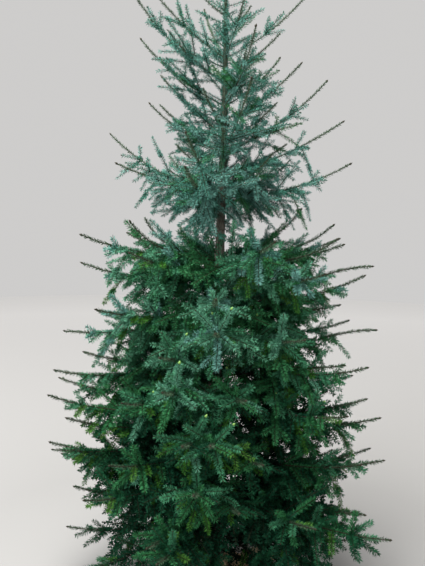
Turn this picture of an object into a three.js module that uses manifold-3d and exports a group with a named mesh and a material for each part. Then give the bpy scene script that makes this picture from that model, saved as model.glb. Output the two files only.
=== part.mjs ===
// A cut spruce on a plain wooden cross, in millimetres, with +Z up.
// The trunk stands on the origin's axis, the side that faced the camera looks along -Y,
// and the underside of the cross lies on z = 0.

import * as THREE from 'three';
import Module from 'manifold-3d';

const wasm = await Module();
wasm.setup();

// Gap between neighbouring solids, and the least height of a spray above the ground
const GAP = 0.3;
const GROUND_CLEAR = 30;

// Wooden cross
const PLANK_LENGTH = 720;
const PLANK_WIDTH = 92;
const PLANK_THICK = 42;
const PLANK_BEVEL = 14;
const PLANK_TURN = 45;
const BRACE_LENGTH = 120;
const BRACE_HEIGHT = 96;
const BRACE_TOE = 22;
const BRACE_THICK = 38;

// Trunk
const FOOT = PLANK_THICK + GAP;
const TRUNK_TOP = 2400;
const TREE_TOP = 2800;
const TRUNK_FOOT_RADIUS = 39;
const TRUNK_TOP_RADIUS = 5.5;
const TRUNK_TAPER = 1.1;
const FLARE = 6;
const FLARE_HEIGHT = 55;
const SWAY = 10;
const SWAY_HALF_WAVE = 1300;
const DEPTH_SWAY = 6;
const TRUNK_SIDES = 12;
const TRUNK_LEVELS = 14;

// Boughs and sprays
const CURVE_STEPS = 20;
const TANGENT_STEP = 0.03;
const BOUGH_SIDES = 6;
const BOUGH_LEVELS = 3;
const BOUGH_SHARE = 0.3;
const BOUGH_ROOT_RATIO = 0.0165;
const BOUGH_TRUNK_SHARE = 0.58;
const BOUGH_TIP_RADIUS = 2.2;
const LIMBED_WHORLS = 1;
const AZIMUTH_SPREAD = 5;
const REACH_SPREAD = 0.05;
const RISE_SPREAD = 3;
const BEND_SPREAD = 10;
const LATERAL = { back: 0, ratio: 0.6, angle: 50, teeth: 2, hang: 0, roll: 40 };
const MINOR = { back: 0.5, ratio: 0.4, angle: 60, teeth: 1, hang: 1, roll: 10 };
const ANGLE_SPREAD = 6;
const LENGTH_SPREAD = 0.14;
const DROOP_SPREAD = 8;
const ROLL_SPREAD = 20;
const SPRAY_THICK = 12;
const SPRAY_WIDTH_RATIO = 0.22;
const SPRAY_MOST_WIDTH = 60;
const SPRAY_SAG = 0.1;
const MIDRIB = [0.3, 0.62];
const STEM_BREADTH = 1;
const TOOTH_LENGTH = 38;
const TIP_TEETH = 2;
const TOOTH_TILT = 40;
const TOOTH_LEAN = 1.1;
const LEADER_TEETH = 9;
const NEEDLES_START = 0.12;
const BARE_SHARE = 0.15;
const LEAST_STEP = 0.04;
const WEDGE_MARGIN = 1.5;
const NEAR_TRUNK = 70;

// One row for each whorl, from the lowest: its height on the trunk, its number of boughs, their
// reach, how much further the right side reaches, the direction of the first bough, the rise of
// a bough at its root, middle and tip, how much steeper the right side grows, the years that a
// bough has grown, and how far its long and its short side shoots hang.
const WHORLS = [
  { height: 340, boughs: 5, reach: 690, lop: 0.17, turn: -32,
    rise: [14, 2, 16], years: 5, droop: [16, 30] },
  { height: 500, boughs: 5, reach: 660, lop: 0.02, turn: -99,
    rise: [16, 6, 20], years: 5, droop: [18, 50] },
  { height: 680, boughs: 5, reach: 660, lop: -0.05, turn: -86,
    rise: [18, 8, 22], years: 5, droop: [20, 55] },
  { height: 870, boughs: 5, reach: 630, turn: -101,
    rise: [16, 4, 20], lift: 4, years: 5, droop: [18, 55] },
  { height: 1080, boughs: 4, reach: 610, turn: -88,
    rise: [14, 6, 18], lift: 9, years: 5, droop: [16, 50] },
  { height: 1320, boughs: 4, reach: 530, turn: -70,
    rise: [16, 10, 24], years: 4, droop: [12, 45] },
  { height: 1570, boughs: 4, reach: 485, lop: -0.04, turn: -105,
    rise: [16, 20, 36], lift: -5, years: 4, droop: [4, 35] },
  { height: 1760, boughs: 4, reach: 350, lop: 0.2, turn: -78,
    rise: [22, 32, 46], years: 3, droop: [-4, 10] },
  { height: 1940, boughs: 3, reach: 330, turn: -65,
    rise: [24, 34, 48], years: 3, droop: [-8, -15] },
  { height: 2120, boughs: 4, reach: 340, turn: -80,
    rise: [26, 38, 52], years: 2, droop: [-12, -25] },
  { height: 2385, boughs: 3, reach: 200, turn: 20,
    rise: [35, 45, 55], years: 1, droop: [-12, -25] },
];

function matt(name, color, roughness) {
  return new THREE.MeshStandardMaterial({ name, color, roughness, metalness: 0 });
}

const BARK = matt('bark', '#5c4636', 0.95);
const NEEDLES = matt('needles', '#2f5c48', 0.7);
const PLANKS = matt('planks', '#c39a68', 0.8);

const RIGHT = new THREE.Vector3(1, 0, 0);
const BACK = new THREE.Vector3(0, 1, 0);
const UP = new THREE.Vector3(0, 0, 1);

function radians(degrees) {
  return degrees * Math.PI / 180;
}

// A seeded sequence, so simple that the tree can be grown alike elsewhere
function sequence(seed) {
  let state = seed * 7919 + 12345;
  return () => {
    state = (state * 16807) % 2147483647;
    return state / 2147483647;
  };
}

function spread(next, amount) {
  return amount * (2 * next() - 1);
}

// Solids from points and triangles

function solidFrom(points, triangles) {
  const vertProperties = new Float32Array(points.flatMap((p) => [p.x, p.y, p.z]));
  const triVerts = new Uint32Array(triangles.flat());
  return new wasm.Manifold(new wasm.Mesh({ numProp: 3, vertProperties, triVerts }));
}

function tube(rings, sides) {
  const points = [];
  const triangles = [];
  for (const ring of rings) {
    for (let i = 0; i < sides; i += 1) {
      const angle = (2 * Math.PI * i) / sides + Math.PI / 2;
      points.push(ring.centre.clone()
        .addScaledVector(ring.side, ring.radius * Math.cos(angle))
        .addScaledVector(ring.up, ring.radius * Math.sin(angle)));
    }
  }
  for (let level = 0; level + 1 < rings.length; level += 1) {
    for (let i = 0; i < sides; i += 1) {
      const a = level * sides + i;
      const b = level * sides + (i + 1) % sides;
      triangles.push([a, b, b + sides], [a, b + sides, a + sides]);
    }
  }
  const last = (rings.length - 1) * sides;
  for (let i = 1; i + 1 < sides; i += 1) {
    triangles.push([0, i + 1, i], [last, last + i, last + i + 1]);
  }
  return solidFrom(points, triangles);
}

function board(profile, thick) {
  const shape = new THREE.Shape(profile.map(([x, y]) => new THREE.Vector2(x, y)));
  const geometry = new THREE.ExtrudeGeometry(shape, { depth: thick, bevelEnabled: false });
  geometry.translate(0, 0, -thick / 2);
  geometry.rotateX(Math.PI / 2);
  return geometry;
}

// Largest body alone: a loose scrap goes, and a hollow that fusing sealed is filled.
function wholeBody(solid) {
  const bodies = solid.decompose();
  return bodies.reduce((best, body) => (body.volume() > best.volume() ? body : best));
}

function geometryOf(solid) {
  const mesh = solid.getMesh();
  const geometry = new THREE.BufferGeometry();
  geometry.setAttribute('position', new THREE.BufferAttribute(Float32Array.from(mesh.vertProperties), 3));
  geometry.setIndex(Array.from(mesh.triVerts));
  return geometry;
}

// Trunk

function trunkCentre(z) {
  const turn = (Math.PI * (z - FOOT)) / SWAY_HALF_WAVE;
  return new THREE.Vector3(-SWAY * Math.sin(turn), DEPTH_SWAY * Math.sin(0.7 * turn), z);
}

function trunkRadius(z) {
  const share = Math.max(0, (TRUNK_TOP - z) / (TRUNK_TOP - FOOT));
  const wood = TRUNK_TOP_RADIUS + (TRUNK_FOOT_RADIUS - TRUNK_TOP_RADIUS) * share ** TRUNK_TAPER;
  return wood + FLARE * Math.exp(-(z - FOOT) / FLARE_HEIGHT);
}

function trunkSolid(extra) {
  const rings = [];
  for (let level = 0; level <= TRUNK_LEVELS; level += 1) {
    const share = (level / TRUNK_LEVELS) ** 1.5;
    const z = FOOT + (TRUNK_TOP - FOOT) * share;
    rings.push({ centre: trunkCentre(z), side: RIGHT, up: BACK, radius: trunkRadius(z) + extra });
  }
  return tube(rings, TRUNK_SIDES);
}

// A bough's middle line: its heading swings by `bend` and its rise follows a parabola.

function boughLine(whorl, index) {
  const next = sequence(WHORLS.indexOf(whorl) * 10 + index + 1);
  const azimuth = whorl.turn + (360 * index) / whorl.boughs + spread(next, AZIMUTH_SPREAD);
  const right = Math.cos(radians(azimuth));
  const reach = whorl.reach * (1 + (whorl.lop ?? 0) * right) * (1 + spread(next, REACH_SPREAD));
  const tilt = (whorl.lift ?? 0) * right + spread(next, RISE_SPREAD);
  const bend = spread(next, BEND_SPREAD);
  const [root, middle, tip] = whorl.rise.map((angle) => angle + tilt);
  const slope = 4 * middle - 3 * root - tip;
  const curve = 2 * root - 4 * middle + 2 * tip;
  const riseAt = (s) => root + slope * s + curve * s * s;
  const shares = Array.from({ length: CURVE_STEPS }, (_, i) => (i + 0.5) / CURVE_STEPS);
  const meanRun = shares.reduce((sum, s) => sum + Math.cos(radians(riseAt(s))), 0) / CURVE_STEPS;
  const length = reach / meanRun;
  const points = [trunkCentre(whorl.height)];
  for (const s of shares) {
    const heading = radians(azimuth + bend * s);
    const rise = radians(riseAt(s));
    const step = new THREE.Vector3(
      Math.cos(heading) * Math.cos(rise), Math.sin(heading) * Math.cos(rise), Math.sin(rise));
    points.push(points.at(-1).clone().addScaledVector(step, length / CURVE_STEPS));
  }
  const rootRadius = Math.min(BOUGH_ROOT_RATIO * length, BOUGH_TRUNK_SHARE * trunkRadius(whorl.height));
  return { whorl, next, azimuth, length, points, rootRadius };
}

function pointOn(line, s) {
  const place = Math.min(s * CURVE_STEPS, CURVE_STEPS - 1e-6);
  const step = Math.floor(place);
  return line.points[step].clone().lerp(line.points[step + 1], place - step);
}

function frameOn(line, s) {
  const before = pointOn(line, Math.max(0, s - TANGENT_STEP));
  const along = pointOn(line, Math.min(1, s + TANGENT_STEP)).sub(before).normalize();
  const side = (line.cross ?? UP).clone().cross(along).normalize();
  return { centre: pointOn(line, s), along, side, up: along.clone().cross(side) };
}

function boughRadius(line, s) {
  return BOUGH_TIP_RADIUS + (line.rootRadius - BOUGH_TIP_RADIUS) * (1 - s) ** 0.9;
}

function limb(line, share) {
  const rings = [];
  for (let i = 0; i <= BOUGH_LEVELS; i += 1) {
    const s = (share * i) / BOUGH_LEVELS;
    rings.push({ ...frameOn(line, s), radius: boughRadius(line, s) });
  }
  return tube(rings, BOUGH_SIDES);
}

// The growth rule: pairs of long side shoots at each year's node, and pairs of short, hanging
// ones halfway between, all shorter towards the tip.

function sideShoot(line, s, hand, kind) {
  const { next, whorl } = line;
  const frame = frameOn(line, s);
  const angle = radians(kind.angle + spread(next, ANGLE_SPREAD));
  const length = kind.ratio * (1 - s) * line.length * (1 + spread(next, LENGTH_SPREAD));
  const droop = radians(whorl.droop[kind.hang] + spread(next, DROOP_SPREAD));
  const roll = radians(hand * (kind.roll + spread(next, ROLL_SPREAD)));
  const along = frame.along.clone().multiplyScalar(Math.cos(angle))
    .addScaledVector(frame.side, hand * Math.sin(angle))
    .addScaledVector(UP, -Math.sin(droop))
    .normalize();
  const up = UP.clone().addScaledVector(along, -along.z).normalize().applyAxisAngle(along, roll);
  const width = Math.min(SPRAY_WIDTH_RATIO * length, SPRAY_MOST_WIDTH);
  return { s, hand, root: frame.centre, along, up, length, width, teeth: kind.teeth, sag: SPRAY_SAG };
}

function sideShoots(line) {
  const { years } = line.whorl;
  const shoots = [];
  for (const kind of [LATERAL, MINOR]) {
    for (let year = 1; year < years; year += 1) {
      for (const hand of [1, -1]) {
        shoots.push(sideShoot(line, (year - kind.back) / years, hand, kind));
      }
    }
  }
  return shoots;
}

// Pairs of short teeth, tilted one way and the other, stand for the needles of a plain shoot.
function needleTeeth(line, from, pairs) {
  const teeth = [];
  for (let pair = 1; pair <= pairs; pair += 1) {
    const s = from + ((1 - from) * (pair - 0.4)) / pairs;
    const frame = frameOn(line, s);
    for (const hand of [1, -1]) {
      const tilt = radians(pair % 2 === 0 ? TOOTH_TILT : -TOOTH_TILT);
      const along = frame.along.clone().multiplyScalar(TOOTH_LEAN)
        .addScaledVector(frame.side, hand * Math.cos(tilt))
        .addScaledVector(frame.up, hand * Math.sin(tilt))
        .normalize();
      const up = frame.up.clone().multiplyScalar(Math.cos(tilt))
        .addScaledVector(frame.side, -Math.sin(tilt));
      const shape = { length: TOOTH_LENGTH, width: 0, teeth: 0, sag: 0 };
      teeth.push({ s, hand, root: frame.centre, along, up, ...shape });
    }
  }
  return teeth;
}

// Half the outline of a spray, as shares of its length and of its half width.
function sprayEdge(teeth) {
  const edges = [[], [[0.6, 1], [0.5, 0.25]], [[0.45, 1], [0.36, 0.2], [0.76, 0.6], [0.66, 0.16]]];
  return edges[teeth];
}

function sprayPoint(shoot, t, across, above) {
  const side = shoot.up.clone().cross(shoot.along);
  return shoot.root.clone()
    .addScaledVector(shoot.along, t * shoot.length)
    .addScaledVector(side, shoot.hand * across)
    .addScaledVector(shoot.up, above - shoot.sag * shoot.length * t * t);
}

function sprayOutline(shoot) {
  const edge = sprayEdge(shoot.teeth);
  const rear = edge.map(([t, w]) => sprayPoint(shoot, t, w * shoot.width, 0));
  const front = edge.map(([t, w]) => sprayPoint(shoot, t, -w * shoot.width, 0)).reverse();
  return [...rear, sprayPoint(shoot, 1, 0, 0), ...front];
}

// A needled bough is one body: its stem has a ridge above, a keel below and an edge on each
// side, and every side shoot is a toothed blade that grows out of the stem at its node, thick
// along its own midrib.

function needledBough(line, from, shift, shoots) {
  const points = [];
  const triangles = [];
  const add = (point) => points.push(point) - 1;
  const stations = [from, ...new Set(shoots.map((shoot) => shoot.s))].sort((a, b) => a - b);
  const frames = stations.map((s) => frameOn(line, s));
  frames[0].centre.addScaledVector(frames[0].along, shift);
  const tip = add(pointOn(line, 1));
  const faces = (face, flip) => triangles.push(flip ? [face[0], face[2], face[1]] : face);
  const nodes = [1, -1].map((above) => [...frames.map((frame, i) => add(
    frame.centre.clone().addScaledVector(frame.up, above * boughRadius(line, stations[i])))), tip]);
  const starts = [];
  for (const hand of [1, -1]) {
    const edgePoint = (frame, s) => add(
      frame.centre.clone().addScaledVector(frame.side, hand * STEM_BREADTH * boughRadius(line, s)));
    const edge = stations.map((s, i) => {
      const middle = (s + (stations[i + 1] ?? 1)) / 2;
      return edgePoint(frameOn(line, middle), middle);
    });
    const start = edgePoint(frames[0], from);
    starts.push(start);
    for (const [i, s] of stations.entries()) {
      const shoot = shoots.find((item) => item.s === s && item.hand === hand);
      const before = i === 0 ? start : edge[i - 1];
      const walk = shoot ? [before, ...sprayOutline(shoot).map(add), edge[i]] : [];
      for (const [layer, above] of [1, -1].entries()) {
        const flip = hand * above < 0;
        const node = nodes[layer];
        faces([node[i], node[i + 1], edge[i]], flip);
        if (!shoot) {
          faces([node[i], edge[i], before], flip);
          continue;
        }
        const ribs = shoot.teeth > 0 ? MIDRIB : MIDRIB.slice(0, 1);
        const rib = ribs.map((t) => add(sprayPoint(shoot, t, 0, (above * SPRAY_THICK * (1 - t)) / 2)));
        const last = walk.length - 1;
        const turn = shoot.teeth > 0 ? shoot.teeth : last;
        for (let j = 0; j < last; j += 1) {
          faces([walk[j + 1], walk[j], j < turn || last - 1 - j < turn ? rib[0] : rib[1]], flip);
        }
        if (rib.length > 1) {
          faces([walk[turn], rib[0], rib[1]], flip);
          faces([walk[last - turn], rib[1], rib[0]], flip);
        }
        faces([node[i], rib[0], before], flip);
        faces([node[i], edge[i], rib[0]], flip);
      }
    }
  }
  triangles.push([nodes[0][0], starts[0], nodes[1][0]], [nodes[0][0], nodes[1][0], starts[1]]);
  return solidFrom(points, triangles);
}

function inSpace(line, points) {
  const half = 180 / line.whorl.boughs - WEDGE_MARGIN;
  return points.every((point) => {
    const centre = trunkCentre(point.z);
    const across = Math.hypot(point.x - centre.x, point.y - centre.y);
    const azimuth = THREE.MathUtils.radToDeg(Math.atan2(point.y - centre.y, point.x - centre.x));
    const away = Math.abs(((azimuth - line.azimuth + 540) % 360 + 360) % 360 - 180);
    return point.z > GROUND_CLEAR && (across < NEAR_TRUNK || away < half);
  });
}

function boxesMeet(a, b) {
  const [first, second] = [a.boundingBox(), b.boundingBox()];
  const near = (low, high) => low - GAP <= high;
  const reaches = (one, two, axis) => near(one.min[axis], two.max[axis]);
  return [0, 1, 2].every((axis) => reaches(first, second, axis) && reaches(second, first, axis));
}

function isClear(solid, others) {
  return others.every((other) => !boxesMeet(solid, other) || solid.minGap(other, GAP) >= GAP);
}

// Wooden cross: the long planks are halved into each other where they cross.

function plankProfile(notchOnTop) {
  const half = PLANK_LENGTH / 2;
  const slot = PLANK_WIDTH / 2 + GAP;
  const middle = PLANK_THICK / 2;
  const profile = [[-half, 0]];
  if (!notchOnTop) {
    const top = middle + GAP / 2;
    profile.push([-slot, 0], [-slot, top], [slot, top], [slot, 0]);
  }
  profile.push([half, 0], [half, PLANK_THICK - PLANK_BEVEL], [half - PLANK_BEVEL, PLANK_THICK]);
  if (notchOnTop) {
    const bottom = middle - GAP / 2;
    profile.push([slot, PLANK_THICK], [slot, bottom], [-slot, bottom], [-slot, PLANK_THICK]);
  }
  profile.push([PLANK_BEVEL - half, PLANK_THICK], [-half, PLANK_THICK - PLANK_BEVEL]);
  return profile;
}

function braceGeometry(turn) {
  const inner = TRUNK_FOOT_RADIUS + FLARE + GAP;
  const outer = inner + BRACE_LENGTH;
  const bottom = PLANK_THICK + GAP;
  const profile = [[inner, bottom], [outer, bottom], [outer, bottom + BRACE_TOE],
    [inner + BRACE_TOE, bottom + BRACE_HEIGHT], [inner, bottom + BRACE_HEIGHT]];
  return board(profile, BRACE_THICK).rotateZ(radians(turn));
}

// The whole tree

function named(name, geometry, material) {
  const mesh = new THREE.Mesh(geometry, material);
  mesh.name = name;
  return mesh;
}

function standMeshes() {
  const lower = board(plankProfile(true), PLANK_WIDTH).rotateZ(radians(PLANK_TURN));
  const upper = board(plankProfile(false), PLANK_WIDTH).rotateZ(radians(PLANK_TURN + 90));
  const meshes = [named('stand_plank_1', lower, PLANKS), named('stand_plank_2', upper, PLANKS)];
  for (let arm = 0; arm < 4; arm += 1) {
    meshes.push(named(`stand_brace_${arm + 1}`, braceGeometry(PLANK_TURN + 90 * arm), PLANKS));
  }
  return meshes;
}

function leaderSolid() {
  const height = TREE_TOP - TRUNK_TOP - GAP;
  const levels = Array.from({ length: CURVE_STEPS + 1 }, (_, i) => i / CURVE_STEPS);
  const points = levels.map((share) => trunkCentre(TRUNK_TOP + GAP + height * share));
  const line = { points, cross: BACK, rootRadius: TRUNK_TOP_RADIUS };
  return needledBough(line, 0, 0, needleTeeth(line, 0, LEADER_TEETH));
}

// A side shoot that would leave its mass's space or touch another solid is left out.
function needledMass(stem, others) {
  const { line, from, shift, trunkSpace } = stem;
  const { years } = line.whorl;
  const tipStart = Math.max((years - 1) / years, NEEDLES_START);
  const kept = needleTeeth(line, tipStart, years === 1 ? 2 * TIP_TEETH : TIP_TEETH);
  const build = (shoots) => {
    const body = needledBough(line, from, shift, shoots);
    return wholeBody(trunkSpace ? body.subtract(trunkSpace) : body);
  };
  for (const shoot of sideShoots(line)) {
    const seen = shoot.s > Math.max(BARE_SHARE, from + LEAST_STEP);
    if (seen && inSpace(line, sprayOutline(shoot)) && isClear(build([...kept, shoot]), others)) {
      kept.push(shoot);
    }
  }
  return build(kept);
}

function growTree() {
  const trunk = trunkSolid(0);
  const trunkSpace = trunkSolid(GAP);
  const leader = leaderSolid();
  const bark = [named('trunk', geometryOf(trunk), BARK)];
  const limbs = [];
  const stems = [];
  for (const [level, whorl] of WHORLS.entries()) {
    for (let index = 0; index < whorl.boughs; index += 1) {
      const line = boughLine(whorl, index);
      const name = `needles_${level + 1}_${index + 1}`;
      if (level < LIMBED_WHORLS) {
        const bough = wholeBody(limb(line, BOUGH_SHARE).subtract(trunkSpace));
        bark.push(named(name.replace('needles', 'bough'), geometryOf(bough), BARK));
        limbs.push({ carries: name, solid: bough });
        const solid = needledBough(line, BOUGH_SHARE, GAP, []);
        stems.push({ name, solid, line, from: BOUGH_SHARE, shift: GAP });
      } else {
        const solid = wholeBody(needledBough(line, 0, 0, []).subtract(trunkSpace));
        stems.push({ name, solid, line, from: 0, shift: 0, trunkSpace });
      }
    }
  }
  const fixed = [{ solid: leader }, ...limbs];
  const finished = new Map(stems.map((stem) => [stem.name, stem.solid]));
  for (const stem of stems) {
    const neighbours = stems.filter((item) => item !== stem).map((item) => finished.get(item.name));
    const limbsNear = fixed.filter((item) => item.carries !== stem.name).map((item) => item.solid);
    finished.set(stem.name, needledMass(stem, [...neighbours, ...limbsNear]));
  }
  const masses = stems.map(({ name }) => named(name, geometryOf(finished.get(name)), NEEDLES));
  return [...bark, named('leader', geometryOf(leader), NEEDLES), ...masses];
}

const tree = new THREE.Group();
tree.name = 'christmas_tree';
tree.add(...standMeshes(), ...growTree());

export default tree;
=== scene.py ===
# %% [markdown]
# # A cut spruce on a plain wooden cross
#
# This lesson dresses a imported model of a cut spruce: its trunk, its boughs, the needles on
# them and the cross that it stands on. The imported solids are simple, so most of them are
# replaced by meshes that grow by the same rule, only finer. Everything is in metres, with
# +Z up and the trunk's foot over the origin.

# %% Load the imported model
import math

import bmesh
import bpy
import numpy as np
from mathutils import Matrix, Vector, noise


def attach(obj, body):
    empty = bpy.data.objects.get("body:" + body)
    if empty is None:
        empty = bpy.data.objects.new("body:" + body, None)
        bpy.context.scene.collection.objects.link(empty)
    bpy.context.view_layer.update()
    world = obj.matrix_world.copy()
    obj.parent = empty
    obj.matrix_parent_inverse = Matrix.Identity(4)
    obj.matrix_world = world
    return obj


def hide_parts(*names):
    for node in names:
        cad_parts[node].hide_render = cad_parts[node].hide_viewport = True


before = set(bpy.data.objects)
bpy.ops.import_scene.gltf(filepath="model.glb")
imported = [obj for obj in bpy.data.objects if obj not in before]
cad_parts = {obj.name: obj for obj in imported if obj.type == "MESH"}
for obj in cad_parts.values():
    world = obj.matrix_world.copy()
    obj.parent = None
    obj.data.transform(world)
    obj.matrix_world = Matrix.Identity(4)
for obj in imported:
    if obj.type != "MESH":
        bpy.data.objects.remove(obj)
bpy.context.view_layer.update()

# %% [markdown]
# ## Camera
#
# The photograph was taken standing up, about three metres in front of the trunk, with the
# camera tipped down and leaning by one degree. In a portrait frame the lens counts against the
# long side, so the focal length in pixels over 566 gives it. The camera comes first because
# every later choice is judged through it.

# %% Place the camera
FRAME_PIXELS = 566
FOCAL_PIXELS = 750
CAMERA_PLACE = (-0.025, -2.95, 1.6)
CAMERA_DOWN = 6.7
CAMERA_LEAN = 1.0


def placed(name, data):
    """A new object of the scene, which shows a mesh, a lamp or the camera."""
    thing = bpy.data.objects.new(name, data)
    bpy.context.scene.collection.objects.link(thing)
    return thing


lens = bpy.data.cameras.new("camera")
lens.sensor_width = 36
lens.lens = lens.sensor_width * FOCAL_PIXELS / FRAME_PIXELS
lens.clip_end = 100
camera = placed("camera", lens)
camera.matrix_world = (
    Matrix.Translation(CAMERA_PLACE)
    @ Matrix.Rotation(math.radians(90 - CAMERA_DOWN), 4, "X")
    @ Matrix.Rotation(math.radians(CAMERA_LEAN), 4, "Z")
)
bpy.context.scene.camera = camera
print("lens:", round(lens.lens, 1), "mm")

# %% [markdown]
# ## Sizes that the tree grows from
#
# A spruce grows one whorl of boughs a year. Each row below is one whorl, from the lowest. The
# numbers are the source's own, in metres and degrees: the height on the trunk, the number of
# boughs and their reach, how much further the right side reaches, the direction of the first
# bough, the rise of a bough at its root, middle and tip, how much steeper the right side
# grows, the years it has grown, and how far its long and its short side shoots hang.

# %% Whorls and trunk
FOOT = 0.0423
TRUNK_TOP = 2.4
TREE_TOP = 2.8
TRUNK_FOOT_RADIUS = 0.039
TRUNK_TOP_RADIUS = 0.0055
TRUNK_TAPER = 1.1
FLARE = 0.006
FLARE_HEIGHT = 0.055
SWAY = 0.010
SWAY_HALF_WAVE = 1.3
DEPTH_SWAY = 0.006
DEPTH_WAVE = 0.7

WHORLS = [
    dict(height=0.340, boughs=5, reach=0.690, lop=0.17, turn=-32, rise=(14, 2, 16), years=5, droop=(16, 30)),
    dict(height=0.500, boughs=5, reach=0.660, lop=0.02, turn=-99, rise=(16, 6, 20), years=5, droop=(18, 50)),
    dict(height=0.680, boughs=5, reach=0.660, lop=-0.05, turn=-86, rise=(18, 8, 22), years=5, droop=(20, 55)),
    dict(height=0.870, boughs=5, reach=0.630, turn=-101, rise=(16, 4, 20), lift=4, years=5, droop=(18, 55)),
    dict(height=1.080, boughs=4, reach=0.610, turn=-88, rise=(14, 6, 18), lift=9, years=5, droop=(16, 50)),
    dict(height=1.320, boughs=4, reach=0.530, turn=-70, rise=(16, 10, 24), years=4, droop=(12, 45)),
    dict(height=1.570, boughs=4, reach=0.485, lop=-0.04, turn=-105, rise=(16, 20, 36), lift=-5,
         years=4, droop=(4, 35)),
    dict(height=1.760, boughs=4, reach=0.350, lop=0.2, turn=-78, rise=(22, 32, 46), years=3, droop=(-4, 10)),
    dict(height=1.940, boughs=3, reach=0.330, turn=-65, rise=(24, 34, 48), years=3, droop=(-8, -15)),
    dict(height=2.120, boughs=4, reach=0.340, turn=-80, rise=(26, 38, 52), years=2, droop=(-12, -25)),
    dict(height=2.385, boughs=3, reach=0.200, turn=20, rise=(35, 45, 55), years=1, droop=(-12, -25)),
]
print("whorls:", len(WHORLS), "boughs:", sum(whorl["boughs"] for whorl in WHORLS))

# %% [markdown]
# ## The growth rule
#
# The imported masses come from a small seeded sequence, so the same few lines grow the same
# boughs here. A bough's heading swings and its rise follows a parabola. Side shoots then leave
# it in pairs: long ones at each year's node, and short, hanging ones halfway between.

# %% Draws, turns and the trunk
SEED_STEP, SEED_START = 7919, 12345
FACTOR, MODULUS = 16807, 2147483647


def sequence(seed):
    """A function that draws the source's own numbers, which lie between 0 and 1."""
    state = seed * SEED_STEP + SEED_START

    def draw():
        nonlocal state
        state = state * FACTOR % MODULUS
        return state / MODULUS

    return draw


def spread(draw, amount):
    return amount * (2 * draw() - 1)


def unit(vector):
    return vector / np.linalg.norm(vector)


def turn_between(one, other):
    """How far one direction is turned from another, in degrees from -180 to 180."""
    return (one - other + 540) % 360 - 180


def bent_through(first, middle, last):
    """The a and b of the curve first + a t + b t² that runs through all three."""
    return 4 * middle - 3 * first - last, 2 * first - 4 * middle + 2 * last


def trunk_centre(z):
    turn = np.pi * (z - FOOT) / SWAY_HALF_WAVE
    return np.array([-SWAY * np.sin(turn), DEPTH_SWAY * np.sin(DEPTH_WAVE * turn), z])


def trunk_radius(z):
    share = max(0.0, (TRUNK_TOP - z) / (TRUNK_TOP - FOOT))
    wood = TRUNK_TOP_RADIUS + (TRUNK_FOOT_RADIUS - TRUNK_TOP_RADIUS) * share**TRUNK_TAPER
    return wood + FLARE * math.exp(-(z - FOOT) / FLARE_HEIGHT)


print("trunk radius at its foot and top:", round(trunk_radius(FOOT), 4), round(trunk_radius(TRUNK_TOP), 4))

# %% Boughs by the source's rule
CURVE_STEPS = 20
TANGENT_STEP = 0.03
BOUGH_ROOT_RATIO = 0.0165
BOUGH_TRUNK_SHARE = 0.58
BOUGH_TIP_RADIUS = 0.0022
BOUGH_TAPER = 0.9
AZIMUTH_SPREAD, REACH_SPREAD, RISE_SPREAD, BEND_SPREAD = 5, 0.05, 3, 10
LEVEL_SEEDS = 10


class Bough:
    """One bough's middle line, and the draws that its side shoots go on with."""

    def __init__(self, whorl, level, index, seed):
        self.level, self.whorl, self.seed = level, whorl, seed
        self.draw = sequence(seed)
        self.azimuth = whorl["turn"] + 360 * index / whorl["boughs"] + spread(self.draw, AZIMUTH_SPREAD)
        right = math.cos(math.radians(self.azimuth))
        reach = whorl["reach"] * (1 + whorl.get("lop", 0) * right) * (1 + spread(self.draw, REACH_SPREAD))
        tilt = whorl.get("lift", 0) * right + spread(self.draw, RISE_SPREAD)
        bend = spread(self.draw, BEND_SPREAD)
        root, middle, tip = (angle + tilt for angle in whorl["rise"])
        a, b = bent_through(root, middle, tip)
        shares = (np.arange(CURVE_STEPS) + 0.5) / CURVE_STEPS
        rise = np.radians(root + a * shares + b * shares**2)
        heading = np.radians(self.azimuth + bend * shares)
        flat = np.cos(rise)
        self.length = reach / flat.mean()
        steps = np.stack([np.cos(heading) * flat, np.sin(heading) * flat, np.sin(rise)], axis=1)
        start = trunk_centre(whorl["height"])
        self.points = np.vstack([start, start + np.cumsum(steps * self.length / CURVE_STEPS, axis=0)])
        thickest = BOUGH_TRUNK_SHARE * trunk_radius(whorl["height"])
        self.root_radius = min(BOUGH_ROOT_RATIO * self.length, thickest)

    def point(self, s):
        place = min(s * CURVE_STEPS, CURVE_STEPS - 1e-6)
        step = int(place)
        return self.points[step] + (self.points[step + 1] - self.points[step]) * (place - step)

    def along(self, s):
        return unit(self.point(min(1, s + TANGENT_STEP)) - self.point(max(0, s - TANGENT_STEP)))

    def radius(self, s):
        return BOUGH_TIP_RADIUS + (self.root_radius - BOUGH_TIP_RADIUS) * (1 - s) ** BOUGH_TAPER


boughs = [
    Bough(whorl, level, index, LEVEL_SEEDS * level + index + 1)
    for level, whorl in enumerate(WHORLS) for index in range(whorl["boughs"])
]
print("longest bough:", round(max(bough.length for bough in boughs), 3), "m")

# %% [markdown]
# ## Lesser boughs between the whorls
#
# A spruce also grows lesser boughs on the trunk between two whorls, which is what makes its
# crown look full. They take their height, reach and rise from the whorls below and above, and
# turn by the golden angle, so that no side of the tree is left thin. High up they are much
# shorter than the main ones, which keeps the crown open there. None grows on the bare stretch
# of the trunk.

# %% Lesser boughs by the whorls' numbers
GOLDEN_ANGLE = 137.5
LESSER_COUNTS = [12, 11, 9, 9, 10, 7, 9, 6, 5, 4]
LESSER_REACHES = [(0.87, 0.95)] * 2 + [(0.80, 1.0)] * 4 + [(0.42, 0.72)] * 4
LESSER_SEED = 500
LESSER_REACH_SEED = 12
LESSER_TURN = 200
LESSER_YEARS = 4
LESSER_SLICES = 4
FIRST_PLACE, SPARE_PLACE = 0.6, 0.4
BARE_STRETCH = (1.355, 1.50)


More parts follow.
